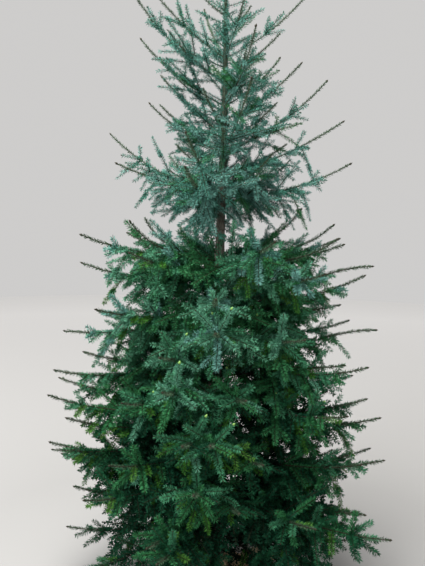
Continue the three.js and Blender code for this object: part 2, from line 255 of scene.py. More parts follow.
def mixed(lower, upper, share):
    """The numbers of a bough that grows at a share of the way between two whorls."""
    def between(one, other):
        return one + (other - one) * share

    whorl = {key: between(lower[key], upper[key]) for key in ("height", "reach")}
    for key in ("rise", "droop"):
        whorl[key] = tuple(map(between, lower[key], upper[key]))
    whorl["years"] = max(1, min(LESSER_YEARS, lower["years"] - (share > 0.5)))
    whorl["boughs"] = LESSER_SLICES
    return whorl


def between_whorls():
    rng = np.random.default_rng(LESSER_REACH_SEED)
    turn = LESSER_TURN
    found = []
    for level, (count, reaches) in enumerate(zip(LESSER_COUNTS, LESSER_REACHES)):
        for place in range(count):
            turn += GOLDEN_ANGLE
            share = (place + FIRST_PLACE) / (count + SPARE_PLACE)
            whorl = mixed(WHORLS[level], WHORLS[level + 1], share)
            whorl["turn"] = turn % 360
            whorl["reach"] *= rng.uniform(*reaches)
            if not BARE_STRETCH[0] < whorl["height"] < BARE_STRETCH[1]:
                seed = LESSER_SEED + 1 + max(LESSER_COUNTS) * level + place
                found.append(Bough(whorl, level, 0, seed))
    return found


filling = between_whorls()
print("boughs between the whorls:", len(filling))

# %% [markdown]
# A lowest row hangs under the first whorl. A few vigorous boughs are set one by one as well,
# after single ones in the photograph, such as the long shoots beside the bare stretch. A row
# takes what it doesn't say from the whorl of its level.

# %% The lowest row and the vigorous boughs
LOWEST = dict(height=0.22, boughs=4, reach=0.61, rise=(12, -8, 10), years=4, droop=(14, 30))
LOWEST_COUNT, LOWEST_TURN = 11, -92
LOWEST_SEED = 900
VIGOROUS_SEED = 800
VIGOROUS = [
    dict(level=5, height=1.345, turn=6, reach=0.45, rise=(6, 14, 44), years=2),
    dict(level=5, height=1.335, turn=-22, reach=0.47, rise=(4, 12, 42), years=2),
    dict(level=5, height=1.350, turn=34, reach=0.42, rise=(10, 20, 46), years=2),
    dict(level=5, height=1.350, turn=152, reach=0.33, rise=(8, 20, 66), years=2),
    dict(level=5, height=1.340, turn=-148, reach=0.42, rise=(6, 14, 48), years=2),
    dict(level=6, height=1.600, turn=-168, reach=0.39, rise=(8, 14, 24)),
    dict(level=6, height=1.670, turn=-8, reach=0.45, rise=(18, 26, 36)),
    dict(level=7, height=1.830, turn=172, reach=0.26, rise=(32, 40, 46)),
    dict(level=7, height=1.860, turn=-24, reach=0.29, rise=(28, 36, 46)),
    dict(level=8, height=2.030, turn=184, reach=0.38, rise=(28, 46, 60)),
    dict(level=0, height=0.450, turn=176, reach=0.64, rise=(16, 2, 12), years=5),
    dict(level=1, height=0.560, turn=-168, reach=0.62, rise=(12, 2, 14), years=5),
    dict(level=0, height=0.400, turn=-24, reach=0.64, rise=(14, 2, 14), years=5),
    dict(level=4, height=1.130, turn=-6, reach=0.62, rise=(10, 24, 2), years=3),
    dict(level=3, height=0.900, turn=2, reach=0.62, rise=(8, 22, 2), years=3),
]

lowest_row = []
for index in range(LOWEST_COUNT):
    whorl = dict(LOWEST, turn=LOWEST_TURN + 360 * index / LOWEST_COUNT)
    lowest_row.append(Bough(whorl, 0, 0, LOWEST_SEED + 1 + index))
vigorous = []
for index, row in enumerate(VIGOROUS):
    whorl = dict(WHORLS[row["level"]], boughs=LESSER_SLICES, lop=0, lift=0, years=3) | row
    vigorous.append(Bough(whorl, row["level"], 0, VIGOROUS_SEED + 1 + index))
lesser = lowest_row + vigorous + filling
print("lesser boughs:", len(lesser))

# %% [markdown]
# ## Shoots
#
# A shoot is a short curve, root + a t + b t², with two thicknesses and an age. Kept that way,
# thousands of them fit in a few arrays, and both their bark and their needles can be made for
# all of them at once. Each keeps to its own bough's slice of the crown and off the ground, and
# none hides the bare stretch of the trunk from the camera.

# %% The space of a shoot
SLICE_MARGIN = 1.5
NEAR_TRUNK = 0.070
GROUND_CLEAR = 0.030
SHORTEST = 0.040
FIT_SHARES = (1.0, 0.85, 0.7, 0.55)
SIGHT_FREE = (1.455, 1.60)
SIGHT_WIDTH = 0.022


def in_space(bough, points):
    """Whether points lie in the bough's own slice of the crown, and above the ground."""
    half = 180 / bough.whorl["boughs"] - SLICE_MARGIN
    for point in points:
        if point[2] < GROUND_CLEAR:
            return False
        offset = point - trunk_centre(point[2])
        away = abs(turn_between(math.degrees(math.atan2(offset[1], offset[0])), bough.azimuth))
        if math.hypot(offset[0], offset[1]) > NEAR_TRUNK and away > half:
            return False
    return True


def before_bare_trunk(point):
    """Whether a point hides the trunk's bare stretch in the photograph."""
    share = (trunk_centre(point[2])[1] - CAMERA_PLACE[1]) / (point[1] - CAMERA_PLACE[1])
    seen = np.array(CAMERA_PLACE) + share * (point - CAMERA_PLACE)
    near = abs(seen[0] - trunk_centre(seen[2])[0]) < SIGHT_WIDTH
    return point[1] < 0 and SIGHT_FREE[0] < seen[2] < SIGHT_FREE[1] and near


def fitted(bough, root, along, bow, length):
    """The length that stays in the bough's slice, shortened a little at a time, or None."""
    for share in FIT_SHARES:
        size = length * share
        points = [root + (along + bow) * size, root + (along + bow / 2) * size / 2]
        if size > SHORTEST and in_space(bough, points) and not any(map(before_bare_trunk, points)):
            return size
    return None


print("lengths tried for each shoot:", FIT_SHARES)

# %% Keeping a shoot
UP = np.array([0.0, 0.0, 1.0])
RADII = dict(shoot=(0.0012, 0.007), twig=(0.0011, 0.006), hanging=(0.0011, 0.005))
TIP_SHARE = 0.45

shoots = []
spray_count = 0


def perpendicular(vector, along):
    """The unit vector square to a direction that is nearest to a vector."""
    flat = vector - along * np.dot(vector, along)
    size = np.linalg.norm(flat)
    return flat / size if size > 1e-6 else unit(np.cross(along, [1.0, 0.3, 0.2]))


def turned(vector, axis, angle):
    """A vector that is square to an axis, turned about it."""
    return vector * math.cos(angle) + np.cross(axis, vector) * math.sin(angle)


def radius_of(kind, size):
    """How thick a shoot of a length is at its root."""
    least, per_metre = RADII[kind]
    return least + per_metre * size


def add_shoot(bough, root, a, b, years, order, kind, thick, hung=False, thin=None):
    """Keeps a shoot. One of order 0 or 1 starts a new spray, whose twigs share its tint."""
    global spray_count
    spray_count += order < 2
    shoots.append(dict(
        root=root, a=a, b=b, length=float(np.linalg.norm(a + b)), thick=thick,
        thin=thin or TIP_SHARE * thick, years=years, order=order, kind=kind, hung=hung,
        spray=spray_count, level=bough.level, seed=bough.seed,
    ))


print("a shoot of 0.1 m is", round(2000 * radius_of("shoot", 0.1), 1), "mm thick")

# %% [markdown]
# ## Twigs on a shoot
#
# A shoot of several years carries nodes of its own, with a long twig on each hand, and shorter
# twigs that hang between its nodes. The same function calls itself until the twigs are one
# year old. Near the trunk little light comes in, so most twigs there have died.

# %% Twigs on a shoot
UPPER_LEVEL = 6
NODE_TWIGS = dict(ratio=0.64, angle=52, hang=0.4)
BETWEEN_TWIGS = dict(ratio=0.46, angle=58, hang=0.45)
TWIG_ANGLE, TWIG_FALL, TWIG_ROLL = 7, 10, 25
TWIG_BEND, TWIG_SAG = 0.10, 0.06
TWIG_LENGTHS = (0.85, 1.2)
TWIG_YEAR_LIMITS = (0.055, 0.13)
LAST_ORDER = 3
SKIPPED_SHARE = 0.06
INSIDE = 0.36
INSIDE_SKIPPED = 0.6


def outward_share(bough, point):
    return np.linalg.norm((point - trunk_centre(point[2]))[:2]) / bough.whorl["reach"]


def side_twigs(bough, rng, root, a, b, up, years, order, kind):
    """Pairs of twigs along a shoot: long ones at its nodes, short ones between them."""
    length = float(np.linalg.norm(a + b))
    droop = bough.whorl["droop"]
    plans = [(year / years, NODE_TWIGS, droop[0], years - year) for year in range(1, years)]
    plans += [((year - 0.5) / years, BETWEEN_TWIGS, droop[1], years - year) for year in range(1, years)]
    if order == 2 and years == 2:
        plans = plans[:1]
    for t, plan, hang, age in plans:
        start = root + a * t + b * t * t
        along = unit(a + 2 * b * t)
        side = unit(np.cross(perpendicular(up, along), along))
        bow = along * TWIG_BEND - UP * TWIG_SAG
        inside = bough.level < UPPER_LEVEL and outward_share(bough, start) < INSIDE
        for hand in (1, -1):
            if rng.random() < (INSIDE_SKIPPED if inside else SKIPPED_SHARE):
                continue
            lean = math.radians(plan["angle"] + rng.uniform(-TWIG_ANGLE, TWIG_ANGLE))
            fall = math.radians(plan["hang"] * hang + rng.uniform(-TWIG_FALL, TWIG_FALL))
            way = unit(along * math.cos(lean) + side * hand * math.sin(lean) - UP * math.sin(fall))
            reach = plan["ratio"] * (1 - t) * length * rng.uniform(*TWIG_LENGTHS)
            size = fitted(bough, start, way, bow, reach)
            if size is None:
                continue
            twig_years = min(age, 1 + sum(size >= limit for limit in TWIG_YEAR_LIMITS))
            a_twig, b_twig = way * size, bow * size
            add_shoot(bough, start, a_twig, b_twig, twig_years, order, kind, radius_of("twig", size))
            if twig_years > 1 and order < LAST_ORDER:
                roll = math.radians(rng.uniform(-TWIG_ROLL, TWIG_ROLL))
                twig_up = turned(perpendicular(up, way), way, roll)
                side_twigs(bough, rng, start, a_twig, b_twig, twig_up, twig_years, order + 1, kind)


def grow(bough, rng, start, way, bow, reach, kind, years=1, limits=(), up=None, hung=False, radius="shoot"):
    """Adds a side shoot of the length that fits, a year older from each limit on, and its twigs."""
    size = fitted(bough, start, way, bow, reach)
    if size is None:
        return
    years += sum(size >= limit for limit in limits)
    a, b = way * size, bow * size
    add_shoot(bough, start, a, b, years, 1, kind, radius_of(radius, size), hung)
    if years > 1:
        side_twigs(bough, rng, start, a, b, perpendicular(UP, way) if up is None else up, years, 2, kind)


print("lengths from which a twig is two or three years old:", TWIG_YEAR_LIMITS)

# %% [markdown]
# ## Side shoots of a bough
#
# These are the side shoots that the source draws, from the same draws, so that they lie where
# the solids have them. The years of an upper bough aren't even, since its last one is the
# longest. It ends in a thin spike, as the photograph shows, and the side shoots at the start of
# that year are shorter than the rule gives.

# %% Side shoots of a bough
LATERAL = dict(back=0, ratio=0.6, angle=50, hang=0, roll=40)
MINOR = dict(back=0.5, ratio=0.4, angle=60, hang=1, roll=10)
ANGLE_SPREAD, LENGTH_SPREAD, DROOP_SPREAD, ROLL_SPREAD = 6, 0.14, 8, 20
SPRAY_BEND, SPRAY_SAG = 0.06, 0.1
BARE_SHARE = 0.15
LESSER_BARE_SHARE = 0.36
LESSER_BARE_LEVELS = 4
HANGING_DROOP = 25
UPPER_NODE_POWER = 1.25
LAST_NODE = 0.75
FULL_TO_LEVEL = 3


def node_place(bough, year):
    """Where on a bough a year's growth ends. The last year of an upper bough is its longest."""
    return (year / bough.whorl["years"]) ** (UPPER_NODE_POWER if bough.level >= UPPER_LEVEL else 1)


def bare_share(bough):
    """The part of a bough, from its root, that has lost its side shoots."""
    return LESSER_BARE_SHARE if bough.seed > LESSER_SEED and bough.level < LESSER_BARE_LEVELS else BARE_SHARE


def source_shoots(bough, rng):
    """The side shoots that the source draws, each with its own finer twigs."""
    years = bough.whorl["years"]
    for name, kind in (("lateral", LATERAL), ("minor", MINOR)):
        droop = bough.whorl["droop"][kind["hang"]]
        hung = name == "minor" and droop > HANGING_DROOP
        for year in range(1, years):
            s = node_place(bough, year - kind["back"])
            along, start = bough.along(s), bough.point(s)
            side = unit(np.cross(UP, along))
            for hand in (1, -1):
                angle = math.radians(kind["angle"] + spread(bough.draw, ANGLE_SPREAD))
                reach = kind["ratio"] * (1 - s) * bough.length * (1 + spread(bough.draw, LENGTH_SPREAD))
                reach *= LAST_NODE if year == years - 1 and bough.level >= FULL_TO_LEVEL else 1
                fall = math.radians(droop + spread(bough.draw, DROOP_SPREAD))
                roll = math.radians(hand * (kind["roll"] + spread(bough.draw, ROLL_SPREAD)))
                if s <= bare_share(bough):
                    continue
                way = unit(along * math.cos(angle) + side * hand * math.sin(angle) - UP * math.sin(fall))
                up = turned(perpendicular(UP, way), way, roll)
                bow = along * SPRAY_BEND - up * SPRAY_SAG
                grow(bough, rng, start, way, bow, reach, name, years - year, up=up, hung=hung)


print("bare share of a bough's root end:", BARE_SHARE)

# %% [markdown]
# ## Shoots at the nodes
#
# At a node, shoots also leave a bough above and below. A bough that points at the camera shows
# as a star, because short brushes stand out all round its young nodes as well.

# %% Shoots at the nodes
NODE_SHOOTS = ((1, 0.55, "top"), (-1, 0.50, "under"))
NODE = dict(before=0.02, roll=35, lean=(32, 48), fall=0.7, sag=0.05, lengths=(0.7, 1.1), limits=(0.07,))
STAR = dict(
    at=0.9, facing=0.55, skipped=0.3, rays=5, reaches=(0.105, 0.085), lean=(50, 72), swing=0.35, sag=0.06,
    lengths=(0.6, 1.3),
)
TOWARDS_CAMERA = np.array([0.0, -1.0, 0.0])


def node_shoots(bough, rng):
    """Shoots above and below the bough at its nodes."""
    years = bough.whorl["years"]
    for year in range(1, years):
        s = node_place(bough, year - NODE["before"])
        if s <= bare_share(bough):
            continue
        along, start = bough.along(s), bough.point(s)
        for side, ratio, name in NODE_SHOOTS:
            roll = math.radians(rng.uniform(-NODE["roll"], NODE["roll"]))
            up = turned(perpendicular(UP, along), along, roll)
            lean = math.radians(rng.uniform(*NODE["lean"]))
            droop = bough.whorl["droop"][1] if side < 0 else 0
            fall = UP * math.sin(math.radians(droop)) * NODE["fall"]
            way = unit(along * math.cos(lean) + up * side * math.sin(lean) - fall)
            reach = ratio * (1 - s) * bough.length * rng.uniform(*NODE["lengths"])
            reach *= LAST_NODE if year == years - 1 else 1
            grow(bough, rng, start, way, -UP * NODE["sag"], reach, name, limits=NODE["limits"],
                 hung=droop > HANGING_DROOP)


def star_shoots(bough, rng):
    """Brushes all round the two youngest nodes of a bough that points at the camera."""
    if bough.along(STAR["at"]) @ TOWARDS_CAMERA < STAR["facing"] or bough.level >= UPPER_LEVEL:
        return
    for back, reach in enumerate(STAR["reaches"], start=1):
        if rng.random() < STAR["skipped"]:
            continue
        s = node_place(bough, bough.whorl["years"] - back)
        along, start, turn = bough.along(s), bough.point(s), rng.uniform(0, 2 * math.pi)
        up = perpendicular(UP, along)
        for ray in range(STAR["rays"]):
            lean = math.radians(rng.uniform(*STAR["lean"]))
            swing = rng.uniform(-STAR["swing"], STAR["swing"])
            out = turned(up, along, turn + 2 * math.pi * (ray + swing) / STAR["rays"])
            way = unit(along * math.cos(lean) + out * math.sin(lean))
            grow(bough, rng, start, way, -UP * STAR["sag"], reach * rng.uniform(*STAR["lengths"]), "star")


print("rays in a star:", STAR["rays"])

# %% [markdown]
# ## Short twigs and hanging shoots
#
# Short twigs fill a bough between its side shoots, out to near its bud. From the older part of
# a drooping bough slack shoots hang, and there are more of them round the bare stretch of the
# trunk.

# %% Short twigs and hanging shoots
SHORT = dict(
    start=0.3, bare_quarters=(1, 3), swing=0.3, lean=(42, 62), fall=0.6, falls=(0.2, 1.0), least=0.045,
    ratio=0.20, lengths=(0.75, 1.15), bend=0.1,
)
HANGING = dict(forward=(0.25, 0.9), sideways=0.5, slip=0.02, sag=0.08, reach=(0.08, 0.16))
HANGING_STRETCH = dict(low=0.22, high=0.74, step=0.085)
GAP_STRETCH = dict(low=0.08, high=0.70, step=0.055)
GAP_LEVEL = 5


def short_twigs(bough, rng):
    """Short twigs that fill the bough between its other side shoots."""
    bare_quarters = SHORT["bare_quarters"][bough.level >= FULL_TO_LEVEL]
    for quarter in range(1, 4 * bough.whorl["years"] - bare_quarters):
        s = node_place(bough, (quarter + rng.uniform(-SHORT["swing"], SHORT["swing"])) / 4)
        if quarter % 2 == 0 or s < max(SHORT["start"], bare_share(bough)):
            continue
        along, start = bough.along(s), bough.point(s)
        side = unit(np.cross(UP, along))
        for hand in (1, -1):
            lean = math.radians(rng.uniform(*SHORT["lean"]))
            fall = math.radians(SHORT["fall"] * bough.whorl["droop"][1] * rng.uniform(*SHORT["falls"]))
            way = unit(along * math.cos(lean) + side * hand * math.sin(lean) - UP * math.sin(fall))
            reach = SHORT["least"] + SHORT["ratio"] * (1 - s) * bough.length
            reach *= rng.uniform(*SHORT["lengths"])
            grow(bough, rng, start, way, along * SHORT["bend"], reach, "short", radius="twig")


def hanging_shoots(bough, rng):
    """Slack shoots that hang from the older part of a bough."""
    if bough.whorl["droop"][1] < HANGING_DROOP:
        return
    by_gap = bough.points[0][2] > BARE_STRETCH[1] or bough.level == GAP_LEVEL
    stretch = GAP_STRETCH if by_gap else HANGING_STRETCH
    for s in np.arange(stretch["low"], stretch["high"], stretch["step"] / bough.length):
        along = bough.along(s)
        side = unit(np.cross(UP, along))
        sideways = HANGING["sideways"]
        way = unit(along * rng.uniform(*HANGING["forward"]) + side * rng.uniform(-sideways, sideways) - UP)
        start = bough.point(s + rng.uniform(-HANGING["slip"], HANGING["slip"]))
        grow(bough, rng, start, way, -UP * HANGING["sag"], rng.uniform(*HANGING["reach"]), "hanging", years=2,
             up=perpendicular(along, way), hung=True, radius="hanging")


print("places of hanging shoots, as shares of a bough:", HANGING_STRETCH)

# %% [markdown]
# Now every bough is grown: its own years first, as shoots of order 0 that carry the needles
# along it, and then all the shoots on it.

# %% Grow the shoots of every bough
AXIS_SHARE = 0.45
SHOOT_SEED = 1000

for bough in boughs + lesser:
    rng = np.random.default_rng(SHOOT_SEED + bough.seed)
    years = bough.whorl["years"]
    for year in range(years):
        start, end = node_place(bough, year), node_place(bough, year + 1)
        first, middle, last = (bough.point(s) for s in (start, (start + end) / 2, end))
        thick, thin = AXIS_SHARE * bough.radius(start), AXIS_SHARE * bough.radius(end)
        add_shoot(bough, first, *bent_through(first, middle, last), years - year, 0, "axis", thick, thin=thin)
    for shoots_of in (source_shoots, node_shoots, star_shoots, short_twigs, hanging_shoots):
        shoots_of(bough, rng)
print("shoots:", len(shoots), "of", round(sum(shoot["length"] for shoot in shoots), 1), "m")

# %% [markdown]
# ## Shoots on the trunk itself
#
# Between two whorls a young spruce also carries small shoots straight on its trunk. They come
# in bands of height, each with its own spacing, rise and reach: close together at the foot,
# steep just under the bare stretch, and hanging into it from above. One band turns to the
# front, where a few sprigs stand before the trunk, and higher up the front is kept clear of
# them. Each shoot keeps to the slice of the bough whose direction is nearest.

# %% Grow the shoots between the whorls
TRUNK_BANDS = [
    dict(low=0.13, high=0.42, step=0.007, rise=(-12, 20), reach=(0.22, 0.48)),
    dict(low=0.42, high=1.02, step=0.018, rise=(0, 40), reach=(0.14, 0.28)),
    dict(low=1.02, high=1.28, step=0.012, rise=(-10, 35), reach=(0.16, 0.32)),
    dict(low=1.28, high=1.36, step=0.009, rise=(20, 55), reach=(0.12, 0.22)),
    dict(low=1.36, high=1.42, step=0.012, rise=(45, 70), reach=(0.07, 0.11), turn=-96),
    dict(low=1.47, high=1.60, step=0.016, rise=(-55, -15), reach=(0.09, 0.16)),
    dict(low=1.62, high=2.36, step=0.016, rise=(-5, 42), reach=(0.07, 0.18)),
]
FRONT = -90
FRONT_SPREAD = 60
CLEAR_FRONT = 36
CLEAR_FRONT_FROM = 1.62
WHORL_AHEAD = 0.12
SLICE_SHARE = 0.7
TRUNK_SHOOT_BEND = 0.05
TRUNK_SHOOT_ROOT = 0.5
TRUNK_SHOOT_SEED = 77
THREE_YEARS_FROM = 0.2


def bough_towards(level, azimuth):
    """The bough of a whorl whose slice holds a direction."""
    choices = [bough for bough in boughs if bough.level == level]
    return min(choices, key=lambda bough: abs(turn_between(azimuth, bough.azimuth)))


def level_near(z):
    """The highest whorl that starts under a place, or only a little over it."""
    return max([level for level, whorl in enumerate(WHORLS) if whorl["height"] <= z + WHORL_AHEAD] or [0])


def trunk_shoot(rng, band, z, azimuth):
    bough = bough_towards(level_near(z), azimuth)
    turn = math.radians(bough.azimuth + SLICE_SHARE * turn_between(azimuth, bough.azimuth))
    rise = math.radians(rng.uniform(*band["rise"]))
    way = np.array([math.cos(turn) * math.cos(rise), math.sin(turn) * math.cos(rise), math.sin(rise)])
    start = trunk_centre(z) + unit(way * [1, 1, 0]) * trunk_radius(z) * TRUNK_SHOOT_ROOT
    reach = rng.uniform(*band["reach"])
    grow(bough, rng, start, way, UP * TRUNK_SHOOT_BEND, reach, "trunk", years=2, limits=(THREE_YEARS_FROM,))


rng = np.random.default_rng(TRUNK_SHOOT_SEED)
azimuth = 0
for band in TRUNK_BANDS:
    for z in np.arange(band["low"], band["high"], band["step"]):
        azimuth += GOLDEN_ANGLE
        if "turn" in band:
            azimuth = band["turn"] + rng.uniform(-FRONT_SPREAD, FRONT_SPREAD)
        in_front = z > CLEAR_FRONT_FROM and abs(turn_between(azimuth, FRONT)) < CLEAR_FRONT
        if not in_front:
            trunk_shoot(rng, band, z, azimuth)
print("shoots with those on the trunk:", len(shoots))

# %% [markdown]
# The youngest years of the trunk keep their own needles. The leader, which is the trunk's last
# year, ends them.

# %% The needled top of the trunk
TOP_LEVEL = len(WHORLS) - 1
NEEDLED_YEARS = [
    dict(low=1.64, high=1.90, years=5, level=8),
    dict(low=1.90, high=2.10, years=4, level=8),
    dict(low=2.10, high=2.27, years=3, level=9),
    dict(low=2.27, high=TRUNK_TOP, years=2, level=9),
]

for part in NEEDLED_YEARS:
    low, high = trunk_centre(part["low"]), trunk_centre(part["high"])
    thick, thin = trunk_radius(part["low"]), trunk_radius(part["high"])
    bough = bough_towards(part["level"], 0)
    add_shoot(bough, low, high - low, 0 * low, part["years"], 0, "trunk_axis", thick, thin=thin)
low, middle, high = (trunk_centre(TRUNK_TOP + share * (TREE_TOP - TRUNK_TOP)) for share in (0, 0.5, 1))
add_shoot(bough_towards(TOP_LEVEL, 0), low, *bent_through(low, middle, high), 1, 0, "leader",
          TRUNK_TOP_RADIUS, thin=BOUGH_TIP_RADIUS)
print("shoots in all:", len(shoots))

# %% [markdown]
# ## Arrays of shoots
#
# From here on all shoots are handled at once, so each of their numbers becomes an array.

# %% The shoots as arrays


def column(key):
    return np.array([shoot[key] for shoot in shoots])


def from_trunk(points):
    """How far points lie from the trunk's middle line."""
    turn = np.pi * (points[:, 2] - FOOT) / SWAY_HALF_WAVE
    return np.hypot(points[:, 0] + SWAY * np.sin(turn), points[:, 1] - DEPTH_SWAY * np.sin(DEPTH_WAVE * turn))


roots, slopes, bows = column("root"), column("a"), column("b")
lengths, levels, orders, ages = column("length"), column("level"), column("order"), column("years")
thicks, thins, kinds, seeds = column("thick"), column("thin"), column("kind"), column("seed")
middles = roots + slopes / 2 + bows / 4
outwards = from_trunk(middles) / np.array([whorl["reach"] for whorl in WHORLS])[levels]
print("mean length of a shoot:", round(float(lengths.mean()), 3), "m")

# %% [markdown]
# ## Tints
#
# A tint is dealt to each whole spray, and not to single needles, because that is how the eye
# reads the tree: pale blue-green tips, mid green sprays behind them, yellowish ones that hang
# below a bough, and a dark inside. Much of that is painted light: the pale tips are partly young
# growth and partly a painted highlight, the yellowish hanging sprays are partly painted light
# that shines through them, and the dark inside is painted shade. The crown is painted palest at
# its top, where the light falls, and darkest at its foot, as painted shade, so each zone of
# height has its own deals. A deal lists its tints with rising limits, and a spray draws a chance
# from 0 to 1 and takes the first tint whose limit reaches it. The last year of a bough is
# brownish, and shows as a thin spike.

# %% The tints and their deals
# The pale tints partly paint the light from above, and the darkest ones are painted shade.
TINTS = {
    "mist": (0.100, 0.245, 0.205),
    "haze": (0.052, 0.180, 0.135),
    "frost": (0.080, 0.235, 0.150),
    "sage": (0.066, 0.215, 0.125),
    "teal": (0.042, 0.172, 0.088),
    "green": (0.027, 0.136, 0.050),
    # Painted shade: a dark green that darkens the low crown and its foot.
    "moss_shade": (0.012, 0.078, 0.034),
    "olive": (0.034, 0.125, 0.018),
    "lime": (0.060, 0.170, 0.030),
    "shade": (0.008, 0.058, 0.028),
    # Painted shade: near-black needles for the crown's dark inside.
    "deep_shade": (0.003, 0.022, 0.011),
    "bronze": (0.046, 0.088, 0.050),
}
DEALS = {
    "upper": {"any": (("mist", 0.5), ("haze", 0.84), ("teal", 0.95), ("green", 1))},
    "high": {
        "star": (("mist", 0.5), ("frost", 0.85), ("teal", 1)),
        "tip": (("mist", 0.3), ("frost", 0.55), ("sage", 0.88), ("green", 1)),
        "between": (("sage", 0.5), ("teal", 0.72), ("green", 0.95), ("olive", 1)),
        "inside": (("sage", 0.3), ("teal", 0.7), ("green", 1)),
        "deep_shade": (("teal", 0.35), ("green", 0.9), ("shade", 1)),
        "hung": (("teal", 0.4), ("green", 0.8), ("olive", 0.93), ("lime", 1)),
    },
    "middle": {
        "star": (("frost", 0.6), ("teal", 0.9), ("green", 1)),
        "tip": (("frost", 0.25), ("teal", 0.65), ("green", 0.97), ("lime", 1)),
        "between": (("olive", 0.08), ("teal", 0.5), ("green", 1)),
        "inside": (("teal", 0.25), ("green", 0.9), ("shade", 1)),
        "deep_shade": (("green", 0.3), ("shade", 0.8), ("deep_shade", 1)),
        "hung": (("olive", 0.25), ("teal", 0.5), ("shade", 0.7), ("green", 1)),
    },
    "low": {
        "star": (("frost", 0.12), ("teal", 0.5), ("green", 0.9), ("lime", 1)),
        "tip": (("teal", 0.14), ("green", 0.48), ("moss_shade", 0.84), ("lime", 0.9), ("shade", 1)),
        "between": (("olive", 0.1), ("green", 0.35), ("moss_shade", 0.75), ("shade", 1)),
        "inside": (("moss_shade", 0.4), ("shade", 1)),
        "deep_shade": (("shade", 0.15), ("deep_shade", 1)),
        "hung": (("olive", 0.35), ("shade", 0.85), ("moss_shade", 1)),
    },
    "foot": {
        "star": (("teal", 0.25), ("green", 0.55), ("moss_shade", 0.9), ("lime", 1)),
        "tip": (("teal", 0.04), ("green", 0.22), ("moss_shade", 0.8), ("lime", 0.87), ("shade", 1)),
        "between": (("olive", 0.06), ("moss_shade", 0.5), ("shade", 1)),
        "inside": (("shade", 0.7), ("deep_shade", 1)),
        "deep_shade": (("deep_shade", 1),),
        "hung": (("olive", 0.15), ("shade", 0.75), ("deep_shade", 1)),
    },
}
# The zones paint light and shade by height: pale tints high up, where the light falls, and darker ones low
# down as painted shade.
LEVEL_ZONES = ["foot", "low", "low", "middle", "high", "high"] + ["upper"] * 5
UPPER_FROM = 1.4
print("tints:", len(TINTS))

# %% Deal the tints
TINT_NAMES = list(TINTS)
TINT_SEED = 5
INSIDE_FROM, BETWEEN_FROM, TIP_FROM = 0.42, 0.55, 0.68


def spray_place(shoot, out):
    """Where a shoot sits in its zone. The share of the crown's reach, out, settles most."""
    # Stars and shoots above a bough take pale tints that are partly young growth and partly a painted
    # highlight.
    if shoot["kind"] == "star":
        return "star"
    # Hanging shoots and those under a bough take yellowish tints, partly painted light through the needles,
    # and dark ones as painted shade.
    if shoot["hung"] or shoot["kind"] == "under":
        return "hung"
    if out > TIP_FROM or shoot["kind"] == "top":
        return "tip"
    return "deep_shade" if out < INSIDE_FROM else "inside" if out < BETWEEN_FROM else "between"


spray_chances = np.random.default_rng(TINT_SEED).random(spray_count + 1)
tints = np.zeros(len(shoots), int)
for index, shoot in enumerate(shoots):
    zone = "upper" if roots[index][2] > UPPER_FROM else LEVEL_ZONES[shoot["level"]]
    place = "any" if zone == "upper" else spray_place(shoot, outwards[index])
    chance = spray_chances[shoot["spray"]]
    name = next(name for name, limit in DEALS[zone][place] if chance <= limit)
    if shoot["kind"] == "axis" and shoot["years"] == 1:
        name = "bronze"
    tints[index] = TINT_NAMES.index(name)
print({name: int((tints == index).sum()) for index, name in enumerate(TINT_NAMES)})

# %% [markdown]
# ## Needle materials
#
# One small class lets shader sums be written as Python sums, and another adds the nodes of one
# material. The needles' colours have a place on the tree, and much of them is painted light and
# shade, so they stay plain base colours, one material for each tint.

# %% Shader sums


class Value:
    """A socket that takes part in Python sums by adding Math nodes."""

    def __init__(self, graph, socket):
        self.graph, self.socket = graph, socket

    def maths(self, operation, *terms):
        return self.graph.node("ShaderNodeMath", {"operation": operation}, dict(enumerate(terms)))

    def __add__(self, other):
        return self.maths("ADD", self, other)

    def __radd__(self, other):
        return self.maths("ADD", other, self)

    def __mul__(self, other):
        return self.maths("MULTIPLY", self, other)

    def __rmul__(self, other):
        return self.maths("MULTIPLY", other, self)

    def __pow__(self, other):
        return self.maths("POWER", self, other)

    def __rpow__(self, other):
        return self.maths("POWER", other, self)


print("sums are written with + * and **")

# %% The nodes of a material


class Graph:
    """A material and the nodes that drive its shader."""

    def __init__(self, name, roughness):
        self.material = bpy.data.materials.new(name)
        self.material.use_nodes = True
        self.tree = self.material.node_tree
        self.shader = self.tree.nodes["Principled BSDF"]
        self.shader.inputs["Roughness"].default_value = roughness

    def node(self, kind, settings=None, inputs=None, output=0):
        """Adds a node, with its settings first and then the values or links of its sockets."""
        node = self.tree.nodes.new(kind)
        for key, setting in (settings or {}).items():
            if key == "stops":
                ramp = node.color_ramp
                while len(ramp.elements) < len(setting):
                    ramp.elements.new(0.5)
                for element, (place, colour) in zip(ramp.elements, setting):
                    element.position, element.color = place, (*colour, 1)
            else:
                setattr(node, key, setting)
        for key, value in (inputs or {}).items():
            self.feed(node.inputs[key], value)
        return Value(self, node.outputs[output])

    def feed(self, socket, value):
        if isinstance(value, Value):
            self.tree.links.new(value.socket, socket)
        else:
            socket.default_value = value

    def dull(self, shine):
        """Sets how strong the surface's gloss is."""
        self.shader.inputs["Specular IOR Level"].default_value = shine
        return self

    def drive(self, **sockets):
        """Feeds the shader's own sockets, and gives back the finished material."""
        for name, value in sockets.items():
            self.feed(self.shader.inputs[name.replace("_", " ")], value)
        return self.material


print("materials before the first one here:", len(bpy.data.materials))

# %% Needle materials
NEEDLE_ROUGHNESS = 0.6
NEEDLE_GLOSS = 0.08

needle_materials = [
    Graph(f"needles_{name}", NEEDLE_ROUGHNESS).dull(NEEDLE_GLOSS).drive(Base_Color=(*colour, 1))
    for name, colour in TINTS.items()
]
print("needle materials:", [material.name for material in needle_materials])

